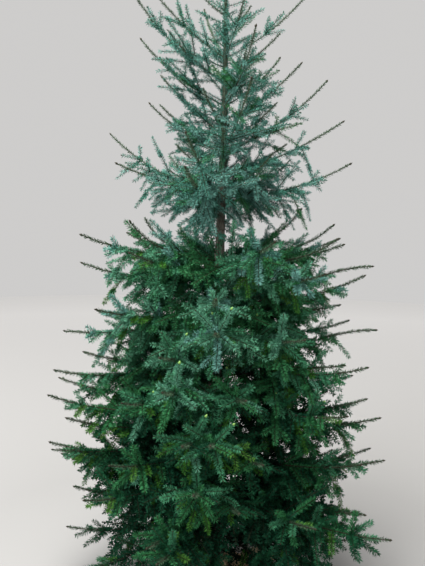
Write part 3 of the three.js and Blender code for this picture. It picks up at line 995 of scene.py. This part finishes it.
# %% [markdown]
# ## Needles
#
# A spruce needle is a stiff little rod, pointed at its tip. Here each one is a slim kite of
# two faces, folded along its rib, so that it has a width from every side. First comes how many
# needles each shoot carries and how large they are. Older wood near the trunk and the shaded
# sprays have lost a part of theirs, while the trunk's own last years are thick with them.

# %% How many needles
NEEDLES_PER_METRE = 775
FEWEST_NEEDLES = 4
FULLNESS = dict(
    axis=1.4, shade=0.58, deep_shade=0.33, deep_shade_by_gap=0.45, upper=0.95, upper_axis=0.8, trunk_axis=2.4,
    leader=1.5, spike=0.85, star=1.6,
)
LEFT_ON_OLD_WOOD = 0.3
OLD_WOOD_TO = 0.03
YOUNG_WOOD_FROM, UPPER_YOUNG_WOOD_FROM = 0.14, 0.05
GAP_LEVELS = (4, 5)


def smooth(value, low, high):
    share = np.clip((value - low) / (high - low), 0, 1)
    return share * share * (3 - 2 * share)


upper = levels >= UPPER_LEVEL
deep_shade, shade = tints == TINT_NAMES.index("deep_shade"), tints == TINT_NAMES.index("shade")
spikes = (orders == 0) & (ages == 1) & (kinds == "axis")
young = smooth(from_trunk(middles), OLD_WOOD_TO, np.where(upper, UPPER_YOUNG_WOOD_FROM, YOUNG_WOOD_FROM))
fullness = np.where(orders == 0, FULLNESS["axis"], 1.0) * (LEFT_ON_OLD_WOOD + (1 - LEFT_ON_OLD_WOOD) * young)
fullness *= np.where(deep_shade, FULLNESS["deep_shade"], np.where(shade, FULLNESS["shade"], 1.0))
fullness *= np.where(upper, FULLNESS["upper"], 1.0)
for name, which in {
    "upper_axis": (orders == 0) & upper, "trunk_axis": kinds == "trunk_axis", "leader": kinds == "leader",
    "spike": spikes, "star": kinds == "star", "deep_shade_by_gap": deep_shade & np.isin(levels, GAP_LEVELS),
}.items():
    fullness[which] = FULLNESS[name]
counts = np.maximum(FEWEST_NEEDLES, (lengths * NEEDLES_PER_METRE * fullness).astype(int))
print("needles:", int(counts.sum()), "faces:", int(counts.sum()) * 2)

# %% How large the needles are
NEEDLE_LENGTH = 0.0168
NEEDLE_WIDTH = 0.0045
OLD_NEEDLE = 0.92
UPPER_NEEDLE = 0.78
SPIKE_NEEDLE = 0.76
STAR_NEEDLE = 1.12
SHADED_WIDTH = 1.8

smaller = np.where(upper, UPPER_NEEDLE, 1.0)
needle_lengths = NEEDLE_LENGTH * np.where(ages == 1, 1.0, OLD_NEEDLE) * smaller
needle_lengths *= np.where(spikes, SPIKE_NEEDLE, np.where(kinds == "star", STAR_NEEDLE, 1.0))
needle_widths = NEEDLE_WIDTH / 2 * np.where(deep_shade | shade, SHADED_WIDTH, smaller)
print("longest needle:", round(1000 * float(needle_lengths.max()), 1), "mm")

# %% [markdown]
# Needles sit on the shoot in a spiral, lean towards its tip, and part below, where a level
# shoot bends its lower needles out to the sides. All needles of a piece come from one sum over
# arrays, because half a million of them are too many to make one by one.

# %% Frames along shoots
UPRIGHT = 0.97


def rows_unit(rows):
    return rows / np.maximum(np.linalg.norm(rows, axis=1, keepdims=True), 1e-9)


def shoot_frames(which, t):
    """The middle of shoots at a share t of their length, their direction, side and upper side."""
    centre = roots[which] + slopes[which] * t + bows[which] * (t * t)
    along = rows_unit(slopes[which] + 2 * bows[which] * t)
    upright = np.abs(along[:, 2]) > UPRIGHT
    reference = np.where(upright[:, None], [1.0, 0.0, 0.0], [0.0, 0.0, 1.0])
    side = rows_unit(np.cross(reference, along))
    return centre, along, side, np.cross(along, side)


def radius_at(which, t):
    return thicks[which] + (thins[which] - thicks[which]) * t


def repeated(pattern, copies, corners_each):
    """The faces of many copies of one small mesh, whose corners follow each other."""
    starts = np.arange(copies)[:, None, None] * corners_each
    return (starts + np.array(pattern)).reshape(-1, 3)


print("faces of two copies of one triangle:", repeated([[0, 1, 2]], 2, 3).tolist())

# %% Place the needles
GOLDEN_TURN = 2.39996
SHOOT_TURN = 1.7
NEEDLE_START, NEEDLE_STRETCH = 0.02, 0.97
PARTING = 0.55
LEAN, UPPER_SIDE_LEAN, END_LEAN, SPIKE_LEAN = 68, 14, 34, 10
END_FROM = 0.90
END_SHORTER = 0.25
LENGTH_CHANCES = (0.82, 1.12)
TURN_CHANCE, LEAN_CHANCE = 0.35, 6
NEEDLE_SHOULDER = 0.38
NEEDLE_FOLD = 0.7
NEEDLE_DEPTH = 0.8
NEEDLE_FACES = [[0, 1, 3], [0, 3, 2]]


def needle_mesh(chosen, seed):
    """Corners, faces and tints of all needles on the chosen shoots."""
    rng = np.random.default_rng(seed)
    many = counts[chosen]
    which = np.repeat(chosen, many)
    total = len(which)
    place = np.arange(total) - np.repeat(np.cumsum(many) - many, many)
    t = NEEDLE_START + NEEDLE_STRETCH * ((place + rng.random(total)) / np.repeat(many, many))
    centre, along, side, above = shoot_frames(which, t[:, None])
    turn = place * GOLDEN_TURN + rng.normal(0, TURN_CHANCE, total) + which * SHOOT_TURN
    over = np.sin(turn)
    over = np.where(over < 0, over * (1 - PARTING * (1 - np.abs(along[:, 2]))), over)
    radial = rows_unit(side * np.cos(turn)[:, None] + above * over[:, None])
    end = smooth(t, END_FROM, 1.0)
    lean = LEAN - UPPER_SIDE_LEAN * np.clip(over, 0, 1) + rng.normal(0, LEAN_CHANCE, total)
    lean = np.radians(lean - END_LEAN * end - SPIKE_LEAN * spikes[which])[:, None]
    way = rows_unit(along * np.cos(lean) + radial * np.sin(lean))
    size = needle_lengths[which] * rng.uniform(*LENGTH_CHANCES, total) * (1 - END_SHORTER * end)
    roll = rng.uniform(0, math.pi, total)[:, None]
    level_broad = rows_unit(np.cross(along, way))
    broad = level_broad * np.cos(roll) + np.cross(way, level_broad) * np.sin(roll)
    broad *= needle_widths[which][:, None]
    base = centre + radial * (NEEDLE_DEPTH * radius_at(which, t))[:, None]
    shoulder = base + way * (size * NEEDLE_SHOULDER)[:, None] + np.cross(way, broad) * NEEDLE_FOLD
    corners = np.stack([base, shoulder + broad, shoulder - broad, base + way * size[:, None]], axis=1)
    return corners.reshape(-1, 3), repeated(NEEDLE_FACES, total, 4), np.repeat(tints[which], 2)


print("faces of one needle:", len(NEEDLE_FACES))

# %% [markdown]
# A mesh piece takes its arrays in one go. The needles of the lowest row become one piece, and
# so do those of each whorl, or of two small whorls near the top. That keeps every piece under
# 200,000 triangles.

# %% Needle pieces
REGIONS = {
    "needles_foot": [], "needles_1": [0], "needles_2": [1], "needles_3": [2], "needles_4": [3],
    "needles_5": [4], "needles_6": [5], "needles_7": [6], "needles_8": [7, 8], "needles_9": [9, 10],
}
NEEDLE_SEED = 200


def mesh_piece(name, corners, faces, materials, slots=None):
    """A mesh object from arrays, for things too many to model one by one."""
    mesh = bpy.data.meshes.new(name)
    mesh.vertices.add(len(corners))
    mesh.vertices.foreach_set("co", corners.astype(np.float32).ravel())
    mesh.loops.add(faces.size)
    mesh.loops.foreach_set("vertex_index", faces.astype(np.int32).ravel())
    mesh.polygons.add(len(faces))
    mesh.polygons.foreach_set("loop_start", np.arange(0, faces.size, 3, dtype=np.int32))
    if slots is not None:
        mesh.polygons.foreach_set("material_index", slots.astype(np.int32))
    for material in materials:
        mesh.materials.append(material)
    mesh.update(calc_edges=True)
    piece = placed(name, mesh)
    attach(piece, "root")
    return piece


lowest = seeds > LOWEST_SEED
for number, (name, region) in enumerate(REGIONS.items()):
    chosen = np.flatnonzero(np.isin(levels, region) & ~lowest if region else lowest)
    corners, faces, slots = needle_mesh(chosen, NEEDLE_SEED + number)
    piece = mesh_piece(name, corners, faces, needle_materials, slots)
    masses = [
        f"needles_{level + 1}_{index + 1}" for level in region for index in range(WHORLS[level]["boughs"])
    ]
    if TOP_LEVEL in region:
        masses.append("leader")
    if masses:
        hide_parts(*masses)
    print(piece.name, len(faces), "faces for", len(masses), "masses")

# %% [markdown]
# ## Twigs
#
# Under its needles each side shoot has a thin, greenish-brown twig. It is a three-sided tube,
# in three steps where it is long and in one where it is short, because its needles hide all
# but its colour. The boughs' own years get their bark further down.

# %% Twigs
TWIG_SIDES = 3
TWIG_STEPS = 3
LONG_TWIG = 0.10


def twig_mesh(chosen, steps):
    """A closed tube for each chosen shoot."""
    rings = []
    for step in range(steps + 1):
        t = step / steps
        centre, _, side, above = shoot_frames(chosen, t)
        radius = radius_at(chosen, t)[:, None]
        for corner in range(TWIG_SIDES):
            angle = 2 * math.pi * corner / TWIG_SIDES + math.pi / 2
            rings.append(centre + radius * (side * math.cos(angle) + above * math.sin(angle)))
    pattern = []
    for start in range(0, steps * TWIG_SIDES, TWIG_SIDES):
        for corner in range(TWIG_SIDES):
            a, b = start + corner, start + (corner + 1) % TWIG_SIDES
            pattern += [[a, b, b + TWIG_SIDES], [a, b + TWIG_SIDES, a + TWIG_SIDES]]
    last = steps * TWIG_SIDES
    pattern += [[0, 2, 1], [last, last + 1, last + 2]]
    return np.stack(rings, axis=1).reshape(-1, 3), repeated(pattern, len(chosen), len(rings))


twig_material = Graph("twig", 0.9).dull(0.2).drive(Base_Color=(0.026, 0.032, 0.016, 1))
long_corners, long_faces = twig_mesh(np.flatnonzero((orders > 0) & (lengths > LONG_TWIG)), TWIG_STEPS)
short_corners, short_faces = twig_mesh(np.flatnonzero((orders > 0) & (lengths <= LONG_TWIG)), 1)
twigs = mesh_piece(
    "twigs", np.concatenate([long_corners, short_corners]),
    np.concatenate([long_faces, short_faces + len(long_corners)]), [twig_material],
)
print("twigs:", len(twigs.data.polygons), "faces")

# %% [markdown]
# ## Buds
#
# The outer tips of the year's longer shoots end in scaly buds. A bud is a pointed spindle. The
# tips of boughs and the shoots of the upper crown carry two smaller ones beside it.

# %% Buds
BUD_LENGTH = 0.0085
BUD_RADIUS = 0.0026
BUD_WAIST = 0.4
BUD_SUNK = 0.001
BUD_TURNS = 4
BUD_PLACE = 0.995
BUD_SKEW = 0.3
BUD_TRIO = ((0, 1.0), (0.75, 0.7), (-0.75, 0.7))
BUD_SCALE = (0.55, 5, 0.6, 1.3)
AXIS_BUD = 1.3
BUDDED_FROM, BUDDED_OUT = 0.07, 0.6
BUD_SEED = 31


def bud_scale(picked):
    """Longer shoots have larger buds, and the tip of a bough has the largest."""
    first, per_metre, least, most = BUD_SCALE
    scale = np.clip(first + per_metre * lengths[picked], least, most)
    return (scale * np.where(orders[picked] == 0, AXIS_BUD, 1.0))[:, None]


def bud_mesh(chosen, rng, swell=1.0):
    """A spindle at each tip, and two smaller ones beside it on boughs and upper shoots."""
    parts = []
    for tilt, size in BUD_TRIO:
        picked = chosen if tilt == 0 else chosen[(orders[chosen] == 0) | upper[chosen]]
        centre, along, side, above = shoot_frames(picked, BUD_PLACE)
        turn = rng.uniform(0, math.pi, len(picked))[:, None]
        way = rows_unit(along + tilt * (side * np.cos(turn) + above * np.sin(turn)))
        across = rows_unit(np.cross(way, above + BUD_SKEW * side))
        over = np.cross(way, across)
        scale = size * swell * bud_scale(picked)
        base = centre - way * BUD_SUNK
        waist = base + way * BUD_LENGTH * BUD_WAIST * scale
        ring = [
            waist + BUD_RADIUS * scale * (across * math.cos(angle) + over * math.sin(angle))
            for angle in np.arange(BUD_TURNS) * 2 * math.pi / BUD_TURNS
        ]
        parts.append(np.stack([base, *ring, base + way * BUD_LENGTH * scale], axis=1))
    corners = np.concatenate(parts)
    pattern = []
    for corner in range(BUD_TURNS):
        a, b = 1 + corner, 1 + (corner + 1) % BUD_TURNS
        pattern += [[0, b, a], [a, b, BUD_TURNS + 1]]
    return corners.reshape(-1, 3), repeated(pattern, len(corners), corners.shape[1])


bud_material = Graph("bud", 0.6).dull(0.2).drive(Base_Color=(0.030, 0.028, 0.016, 1))
long_young = (ages == 1) & (orders < 2) & (lengths > BUDDED_FROM)
budded = np.flatnonzero(long_young & (outwards > BUDDED_OUT))
buds = mesh_piece("buds", *bud_mesh(budded, np.random.default_rng(BUD_SEED)), [bud_material])
print("buds:", len(buds.data.polygons), "faces")

# %% [markdown]
# ## Swollen buds
#
# A few buds of the middle crown have already swollen, and show pale yellow-green between their
# scales. They sit on rays of the stars that point upwards.

# %% Swollen buds
SWELL = 1.9
SWOLLEN_SHARE = 0.32
SWOLLEN_LEVELS = (2, 3, 4, 5)
SWOLLEN_RISE = 0.6
SWOLLEN_SEED = 47

bud_rng = np.random.default_rng(SWOLLEN_SEED)
rising = (kinds == "star") & (slopes[:, 2] > SWOLLEN_RISE * lengths) & np.isin(levels, SWOLLEN_LEVELS)
swollen = np.flatnonzero(rising & (bud_rng.random(len(kinds)) < SWOLLEN_SHARE))
swollen_material = Graph("swollen_bud", 0.55).dull(0.2).drive(Base_Color=(0.20, 0.37, 0.10, 1))
swollen_buds = mesh_piece("swollen_buds", *bud_mesh(swollen, bud_rng, SWELL), [swollen_material])
print("swollen buds:", len(swollen))

# %% [markdown]
# ## Bark
#
# Young spruce bark is thin and brown, with small raised scales, a swelling where each whorl
# leaves, and rough leaf scars on the boughs. The relief is in the mesh: a grid is wrapped
# round the trunk's own middle line, and each of its points moves in or out by a pattern of
# stretched cells. The colour follows the same kind of cells in the material. The boughs have a
# darker bark than the trunk, and both turn to a greenish young bark towards the tree's top.

# %% Bark material
BARK_TONES = [(0.066, 0.056, 0.046), (0.142, 0.121, 0.102), (0.200, 0.174, 0.150), (0.232, 0.220, 0.190)]
YOUNG_TONES = [(0.030, 0.042, 0.026), (0.062, 0.082, 0.054), (0.098, 0.122, 0.084), (0.130, 0.150, 0.112)]
LIMB_TONES = [(0.014, 0.012, 0.008), (0.031, 0.026, 0.016), (0.047, 0.039, 0.025), (0.058, 0.051, 0.035)]
TONE_PLACES = (0.30, 0.48, 0.62, 0.75)
YOUNG_BARK_FROM, YOUNG_BARK_FULL = 1.35, 1.85


def bark_colours(graph, tone, tones):
    return graph.node("ShaderNodeValToRGB", {"stops": list(zip(TONE_PLACES, tones))}, {"Fac": tone})


def bark_graph(name, old, young):
    """Bark that goes from one set of tones low on the tree to another near its top."""
    bark = Graph(name, 0.9).dull(0.25)
    place = bark.node("ShaderNodeTexCoord", output=3)
    stretched = bark.node("ShaderNodeMapping", {}, {"Vector": place, "Scale": (1, 1, 0.35)})
    scales = bark.node(
        "ShaderNodeTexVoronoi", {"feature": "DISTANCE_TO_EDGE"}, {"Vector": stretched, "Scale": 90},
    )
    blotches = bark.node("ShaderNodeTexNoise", {}, {"Vector": stretched, "Scale": 24, "Detail": 4})
    grain = bark.node("ShaderNodeTexNoise", {}, {"Vector": place, "Scale": 420, "Detail": 3})
    tone = blotches * 0.6 + grain * 0.4
    height = bark.node("ShaderNodeSeparateXYZ", {}, {"Vector": place}, 2)
    youth = bark.node("ShaderNodeMapRange", {}, {
        "Value": height, "From Min": YOUNG_BARK_FROM, "From Max": YOUNG_BARK_FULL,
    })
    colour = bark.node("ShaderNodeMix", {"data_type": "RGBA"}, {
        0: youth, 6: bark_colours(bark, tone, old), 7: bark_colours(bark, tone, young),
    }, 2)
    crack = bark.node("ShaderNodeMapRange", {}, {"Value": scales, "From Max": 0.12, "To Min": 0.45})
    tinted = bark.node("ShaderNodeVectorMath", {"operation": "SCALE"}, {"Vector": colour, "Scale": crack})
    bump = bark.node("ShaderNodeBump", {}, {"Height": grain + scales * 2, "Strength": 0.5, "Distance": 0.001})
    return bark.drive(Base_Color=tinted, Normal=bump, Roughness=grain * 0.2 + 0.75)


trunk_material = bark_graph("trunk_bark", BARK_TONES, YOUNG_TONES)
limb_material = bark_graph("limb_bark", LIMB_TONES, YOUNG_TONES)
print("bark nodes:", len(trunk_material.node_tree.nodes))

# %% Wrap the bark
SCALE_CELLS = np.array([85, 85, 30])
SCALE_EDGE = 3.0
SCALE_LEVEL = 0.6
GRAIN_SHARE = 0.8
GRAIN_CELLS = 160


def bark_height(place, depth):
    """How far a point of the bark stands out, where the relief has this depth."""
    near, next_near = noise.voronoi(Vector(place * SCALE_CELLS))[0][:2]
    scale = min(1.0, (next_near - near) * SCALE_EDGE)
    return depth * (scale - SCALE_LEVEL + GRAIN_SHARE * noise.noise(Vector(place) * GRAIN_CELLS))


def bark_tube(bm, rings, sides):
    """Wraps a grid round rings of centre, side, above, radius and depth of relief."""
    grid = bmesh.ops.create_grid(bm, x_segments=sides, y_segments=len(rings) - 1, size=0.5)["verts"]
    for vertex in grid:
        turn = (vertex.co.x + 0.5) * 2 * math.pi
        centre, side, above, radius, depth = rings[round((vertex.co.y + 0.5) * (len(rings) - 1))]
        out = side * math.cos(turn) + above * math.sin(turn)
        place = centre + out * radius
        vertex.co = Vector(place + out * bark_height(place, depth))
    bmesh.ops.remove_doubles(bm, verts=grid, dist=1e-6)


def finished_mesh(bm, name, material):
    """The mesh that a bmesh has been shaped to, in one material."""
    mesh = bpy.data.meshes.new(name)
    bm.to_mesh(mesh)
    bm.free()
    mesh.materials.append(material)
    return mesh


def bark_piece(name, tubes, sides, material):
    """One mesh of many tubes, with their ends closed."""
    bm = bmesh.new()
    for rings in tubes:
        bark_tube(bm, rings, sides)
    open_edges = [edge for edge in bm.edges if edge.is_boundary]
    bmesh.ops.holes_fill(bm, edges=open_edges, sides=0)
    bmesh.ops.triangulate(bm, faces=[face for face in bm.faces if len(face.verts) > 4])
    bmesh.ops.recalc_face_normals(bm, faces=bm.faces)
    mesh = finished_mesh(bm, name, material)
    mesh.shade_smooth()
    piece = placed(name, mesh)
    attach(piece, "root")
    print(name, len(mesh.polygons), "faces")
    return piece


print("scales round and along a metre of bark:", SCALE_CELLS[0], SCALE_CELLS[2])

# %% Bark on the trunk
COLLAR = 0.10
COLLAR_HEIGHT = 0.018
COLLAR_DROP = 0.01
TRUNK_RELIEF = (0.0003, 0.0012)
TRUNK_RINGS = 420
TRUNK_SIDES = 56
ACROSS, AWAY = np.array([1.0, 0, 0]), np.array([0, 1.0, 0])


def trunk_ring(z):
    """One ring of the trunk, a little thicker where a whorl leaves it."""
    over_whorls = [(z - whorl["height"] + COLLAR_DROP) / COLLAR_HEIGHT for whorl in WHORLS]
    collar = sum(COLLAR * math.exp(-(over**2)) for over in over_whorls)
    radius = trunk_radius(z) * (1 + min(collar, COLLAR))
    depth = TRUNK_RELIEF[0] + TRUNK_RELIEF[1] * (radius / TRUNK_FOOT_RADIUS)
    return trunk_centre(z), ACROSS, AWAY, radius, depth


trunk_tube = [trunk_ring(FOOT + (TRUNK_TOP - FOOT) * ring / TRUNK_RINGS) for ring in range(TRUNK_RINGS + 1)]
trunk = bark_piece("trunk_bark", [trunk_tube], TRUNK_SIDES, trunk_material)
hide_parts("trunk")

# %% Bark on the boughs
BOUGH_RINGS = 32
BOUGH_SIDES = 8
SLIM_SHARE = 0.45
FULL_STRETCH = 0.15
STOUT_TIP = 0.0019
BOUGH_COLLAR, BOUGH_COLLAR_STRETCH = 0.25, 0.03
BOUGH_RELIEF = (0.00015, 0.05)


def bough_ring(bough, s):
    """One ring of a bough: slim under its needles, full at the root of a first whorl's bough."""
    along = bough.along(s)
    side = unit(np.cross(UP, along))
    full = math.exp(-s / FULL_STRETCH) if bough.seed <= WHORLS[0]["boughs"] else 0
    collar = 1 + BOUGH_COLLAR * math.exp(-s / BOUGH_COLLAR_STRETCH)
    radius = max((SLIM_SHARE + (1 - SLIM_SHARE) * full) * bough.radius(s) * collar, STOUT_TIP)
    return bough.point(s), side, np.cross(along, side), radius, BOUGH_RELIEF[0] + BOUGH_RELIEF[1] * radius


bough_tubes = [
    [bough_ring(bough, ring / BOUGH_RINGS) for ring in range(BOUGH_RINGS + 1)] for bough in boughs + lesser
]
limbs = bark_piece("boughs_bark", bough_tubes, BOUGH_SIDES, limb_material)
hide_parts(*[f"bough_1_{index + 1}" for index in range(5)])

# %% [markdown]
# ## The wooden cross
#
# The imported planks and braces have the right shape, so they stay and get sawn softwood. The
# wood is solid: growth rings round a pith that runs along each board, so its faces show long
# grain and its ends show rings. Each board turns the pattern to lie along itself.

# %% Sawn wood
PLANK_TURN = 45
RING_WAVES = 900
RING_WARP = 9
FIBRES = (6, 260, 260)


def sawn_wood(name, turn, pith):
    wood = Graph(name, 0.75)
    place = wood.node("ShaderNodeTexCoord", output=3)
    turned_place = wood.node("ShaderNodeMapping", {}, {
        "Vector": place, "Rotation": (0, 0, -math.radians(turn)), "Location": pith,
    })
    warp = wood.node("ShaderNodeTexNoise", {}, {"Vector": turned_place, "Scale": 5, "Detail": 2})
    across = wood.node("ShaderNodeSeparateXYZ", {}, {"Vector": turned_place}, 1)
    up = Value(wood, across.socket.node.outputs[2])
    from_pith = (across * across + up * up) ** 0.5
    phase = from_pith * RING_WAVES + warp * RING_WARP
    wave = phase.maths("SINE", phase)
    fibre_place = wood.node("ShaderNodeMapping", {}, {"Vector": turned_place, "Scale": FIBRES})
    fibre = wood.node("ShaderNodeTexNoise", {}, {"Vector": fibre_place, "Scale": 1, "Detail": 3})
    tone = wave * 0.22 + fibre * 0.5 + 0.2
    colour = wood.node("ShaderNodeValToRGB", {"stops": [
        (0.2, (0.56, 0.43, 0.28)), (0.5, (0.47, 0.34, 0.20)), (0.8, (0.34, 0.23, 0.13)),
    ]}, {"Fac": tone})
    bump = wood.node("ShaderNodeBump", {}, {"Height": tone, "Strength": 0.25, "Distance": 0.0008})
    return wood.drive(Base_Color=colour, Normal=bump, Roughness=fibre * 0.2 + 0.62)


BOARDS = {
    "stand_plank_1": (PLANK_TURN, (0, 0.03, 0.05)),
    "stand_plank_2": (PLANK_TURN + 90, (0.4, -0.02, 0.04)),
    "stand_brace_1": (PLANK_TURN, (0.1, 0.02, 0.03)),
    "stand_brace_2": (PLANK_TURN + 90, (0.7, -0.01, 0.05)),
    "stand_brace_3": (PLANK_TURN + 180, (0.3, 0.03, -0.02)),
    "stand_brace_4": (PLANK_TURN + 270, (0.9, -0.03, 0.03)),
}
for node, settings in BOARDS.items():
    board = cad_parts[node]
    board.data.materials.clear()
    board.data.materials.append(sawn_wood(f"wood_{node}", *settings))
print("boards:", len(BOARDS))

# %% [markdown]
# ## Nails
#
# Each brace is nailed down to its plank through its slanting face. Only the flat steel heads
# show, so each is a low cone that sits a little in the wood.

# %% Nail heads
NAIL_RADIUS = 0.0035
NAIL_HEAD = 0.0012
NAIL_SIDES = 20
NAIL_TOP_SHARE = 0.8
NAIL_LIFT = 0.35
NAIL_SHARES = (0.22, 0.62)
BRACES = 4
FACE_FOOT, FACE_TOP = np.array([0.1653, 0.0643]), np.array([0.0673, 0.1383])

bm = bmesh.new()
slope = unit(FACE_TOP - FACE_FOOT)
tilt = Matrix.Rotation(math.atan2(slope[1], -slope[0]), 4, "Y")
for arm in range(BRACES):
    turn = Matrix.Rotation(math.radians(PLANK_TURN + 90 * arm), 4, "Z")
    for share in NAIL_SHARES:
        out, z = FACE_FOOT + (FACE_TOP - FACE_FOOT) * share
        place = turn @ Matrix.Translation((out, 0, z)) @ tilt
        bmesh.ops.create_cone(
            bm, cap_ends=True, segments=NAIL_SIDES, radius1=NAIL_RADIUS, radius2=NAIL_TOP_SHARE * NAIL_RADIUS,
            depth=NAIL_HEAD, matrix=place @ Matrix.Translation((0, 0, NAIL_LIFT * NAIL_HEAD)),
        )
steel = Graph("steel", 0.4).dull(0.5)
spot = steel.node("ShaderNodeTexCoord", output=3)
dents = steel.node("ShaderNodeTexNoise", {}, {"Vector": spot, "Scale": 600})
tarnish = steel.node("ShaderNodeValToRGB", {"stops": [
    (0.4, (0.20, 0.19, 0.18)), (0.6, (0.40, 0.40, 0.41)),
]}, {"Fac": dents})
steel_material = steel.drive(Base_Color=tarnish, Metallic=0.9, Roughness=dents * 0.4 + 0.25)
nails = placed("nails", finished_mesh(bm, "nails", steel_material))
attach(nails, "root")
print("nails:", BRACES * len(NAIL_SHARES))

# %% [markdown]
# ## Floor and light
#
# The tree stands in soft daylight. A round floor, a pale sky and two broad lamps give that:
# one high above, so that the upper side of each spray is light and the crown's inside stays
# dark, and one beside the camera. The floor's colour is painted light and shade: greyer under
# the tree as a painted shade, and paler further out, where it meets the sky.

# %% Floor
FLOOR_RADIUS = 9
FLOOR_SIDES = 96

bm = bmesh.new()
bmesh.ops.create_circle(bm, cap_ends=True, segments=FLOOR_SIDES, radius=FLOOR_RADIUS)
ground = Graph("floor", 0.9)
spot = ground.node("ShaderNodeTexCoord", output=3)
distance = ground.node("ShaderNodeVectorMath", {"operation": "LENGTH"}, {"Vector": spot}, "Value")
# Painted shade: the floor is darker near the tree and paler towards its rim.
painted_floor_shade = ground.node("ShaderNodeValToRGB", {"stops": [
    (0.15, (0.36, 0.355, 0.35)), (0.80, (0.84, 0.83, 0.82)),
]}, {"Fac": distance * (1 / FLOOR_RADIUS)})
floor = placed("floor", finished_mesh(bm, "floor", ground.drive(Base_Color=painted_floor_shade)))
print("floor:", 2 * FLOOR_RADIUS, "m across")

# %% Sky and lamps
SKY_COLOUR = (0.82, 0.81, 0.80, 1)
SKY_STRENGTH = 0.75
LAMP_AIM = (0, 0, 1.2)

sky = bpy.data.worlds.new("sky")
sky.use_nodes = True
sky.node_tree.nodes["Background"].inputs["Color"].default_value = SKY_COLOUR
sky.node_tree.nodes["Background"].inputs["Strength"].default_value = SKY_STRENGTH
bpy.context.scene.world = sky
bpy.context.scene.view_settings.view_transform = "Standard"


def lamp(name, place, width, power, colour):
    light = bpy.data.lights.new(name, "AREA")
    light.shape = "DISK"
    light.size = width
    light.energy = power
    light.color = colour
    lamp_object = placed(name, light)
    way = Vector(LAMP_AIM) - Vector(place)
    lamp_object.matrix_world = Matrix.Translation(place) @ way.to_track_quat("-Z", "Y").to_matrix().to_4x4()
    print(name, power, "W")


lamp("lamp_above", (-0.9, -1.0, 5.2), 3.0, 420, (1.0, 0.99, 0.96))
lamp("lamp_front", (-3.4, -5.4, 4.0), 3.5, 240, (0.96, 0.98, 1.0))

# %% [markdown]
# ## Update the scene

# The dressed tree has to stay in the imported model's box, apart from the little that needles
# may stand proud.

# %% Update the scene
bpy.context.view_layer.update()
